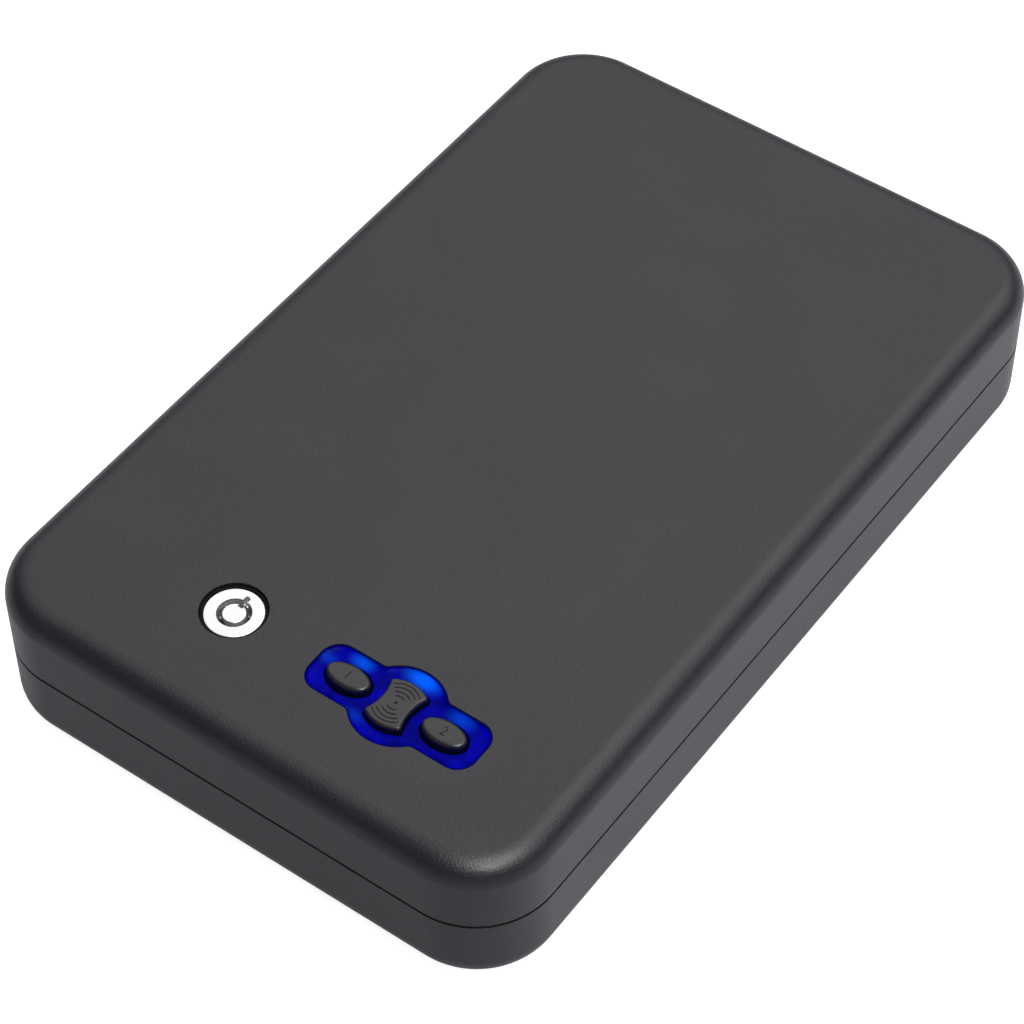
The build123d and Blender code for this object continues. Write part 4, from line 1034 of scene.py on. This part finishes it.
def makeLock():
    k = lock
    x, y = lockPlace
    halfNotch = k["notchWidth"] / 2
    face = addColumn("lockFace", lockPlace, k["faceRadius"], (k["foot"], k["faceTop"]), sides=128)
    roundRim(face, k["faceTop"], k["faceRadius"], k["faceEdge"])
    levels = (k["foot"] - k["overcut"], k["faceTop"] + k["overcut"])
    cutWith(face, addColumn("keywayBore", lockPlace, k["keyway"], levels, sides=96))
    roundRim(face, k["faceTop"], k["keyway"], k["keywayEdge"], steps=2)
    notch = addBlock(
        "notch", (x - halfNotch, y + k["postRadius"], k["notchFloor"]),
        (x + halfNotch, y + k["notchReach"], k["openTop"]),
    )
    roundCorners(notch, k["notchCorner"], steps=3)
    cutWith(face, notch)
    finishPiece(face, k["smooth"], "turnedNickel", "lid", "chrome", "lock_housing")

    ring = addColumn("lockRing", lockPlace, k["ringRadius"], (k["flange"][0], k["ringTop"]), sides=128)
    cutWith(ring, addColumn("ringFlange", lockPlace, k["flangeRadius"], k["flange"], sides=96), "UNION")
    cutWith(ring, addColumn("ringBore", lockPlace, k["ringBore"], (k["openFoot"], k["openTop"]), sides=128))
    roundRim(ring, k["ringTop"], k["ringRadius"], k["ringEdges"][0])
    roundRim(ring, k["ringTop"], k["ringBore"], k["ringEdges"][1], steps=2)
    finishPiece(ring, k["smooth"], "lockRing", "lid", "black_plastic", "lock_collar")

    post = addColumn("lockPost", lockPlace, k["plugRadius"], (k["plugFoot"], k["keywayFloor"]), sides=96)
    levels = (k["keywayFloor"] - k["overlap"], k["postTop"])
    stem = addColumn("postStem", lockPlace, k["postRadius"], levels, sides=96)
    roundRim(stem, k["postTop"], k["postRadius"], k["postEdge"])
    pocket = addBlock(
        "pocket", (x - halfNotch, y + k["postRadius"] - k["pocketDepth"], k["keywayFloor"]),
        (x + halfNotch, y + k["keyway"], k["openTop"]),
    )
    cutWith(stem, pocket)
    cutWith(post, stem, "UNION")
    tail, low, high = k["tailHalf"], k["tailFoot"], k["plugFoot"] + k["overlap"]
    cutWith(post, addBlock("postTail", (x - tail, y - tail, low), (x + tail, y + tail, high)), "UNION")
    boreRadius, *boreLevels = k["screwBore"]
    cutWith(post, addColumn("screwBore", lockPlace, boreRadius, boreLevels, sides=32))
    finishPiece(post, k["smooth"], "turnedNickel", "plug", "chrome", "lock_plug")

    pins = []
    circle = (k["postRadius"] + k["keyway"]) / 2
    for index in range(k["pins"]):
        turn = 2 * math.pi * index / k["pins"]
        spot = (x + circle * math.cos(turn), y + circle * math.sin(turn))
        pin = addColumn("lockPins", spot, k["pinRadius"], (k["keywayFloor"], k["pinTop"]), sides=24)
        editMode(pin)
        pick(pin, "FACE", atLevel(k["pinTop"]))
        bevelPicked(k["pinEdge"], steps=2)
        objectMode()
        pins.append(pin)
    joinPieces(pins[0], pins[1:])
    finishPiece(pins[0], k["smooth"], "pinSteel", "plug", "zinc_steel", "lock_pins")


makeLock()
print("lock ready")


# Dark raised marks on the keys: two numerals, and a dot between two fans of arcs
marks = {
    "foot": 50.87, "top": 50.99, "numerals": {"left": "1", "right": "2"}, "numeralSize": 4.4, "thinning": 0.1,
    "arcs": (2.3, 3.7, 5.1, 6.4), "arcWidth": 0.3, "arcHalfAngles": (38.0, 40.0, 42.0, 42.0), "dot": 0.45,
    "arcSteps": 16, "smooth": 30,
}


def makeNumeral(key, figure):
    deselectAll()
    bpy.ops.object.text_add(location=(0, 0, 0))
    text = bpy.context.object
    text.data.body = figure
    text.data.size = marks["numeralSize"] * millimetre
    text.data.align_x = text.data.align_y = "CENTER"
    text.data.offset = -marks["thinning"] * millimetre
    text.data.extrude = (marks["top"] - marks["foot"]) / 2 * millimetre
    bpy.ops.object.convert(target="MESH")
    numeral = nameNew(f"{key}KeyNumeral")
    centreX, centreY = keypad["centre"]
    place = metres(centreX + keyPlaces[key], centreY, (marks["top"] + marks["foot"]) / 2)
    # The outline's middle goes to the key's middle
    spread = [[v.co[i] for v in numeral.data.vertices] for i in range(2)]
    shift = [place[i] - (min(spread[i]) + max(spread[i])) / 2 for i in range(2)]
    editMode(numeral, everything=True)
    bpy.ops.transform.translate(value=(*shift, place[2]))
    objectMode()
    mergeClose(numeral)
    finishPiece(numeral, marks["smooth"], "markInk", f"{key}_button", "key_plastic")


def makeWaves():
    centreX, centreY = keypad["centre"]
    width, foot, top = marks["arcWidth"] / 2, marks["foot"], marks["top"]
    pieces = [addColumn("centreKeyWaves", keypad["centre"], marks["dot"], (foot, top), sides=24)]
    for facing in (90.0, 270.0):
        for radius, half in zip(marks["arcs"], marks["arcHalfAngles"]):
            first, last = math.radians(facing - half), math.radians(facing + half)
            inner, outer = radius - width, radius + width
            start = (centreX + outer * math.cos(first), centreY + outer * math.sin(first))
            arc = traceOutline("waveArc", start, foot, [
                ("arc", centreX, centreY, 2 * half, marks["arcSteps"]),
                ("line", centreX + inner * math.cos(last), centreY + inner * math.sin(last)),
                ("arc", centreX, centreY, -2 * half, marks["arcSteps"]),
            ])
            pieces.append(thicken(arc, top - foot))
    joinPieces(pieces[0], pieces[1:])
    finishPiece(pieces[0], marks["smooth"], "markInk", "centre_button", "key_plastic")


for key, figure in marks["numerals"].items():
    makeNumeral(key, figure)
makeWaves()
print("marks ready")
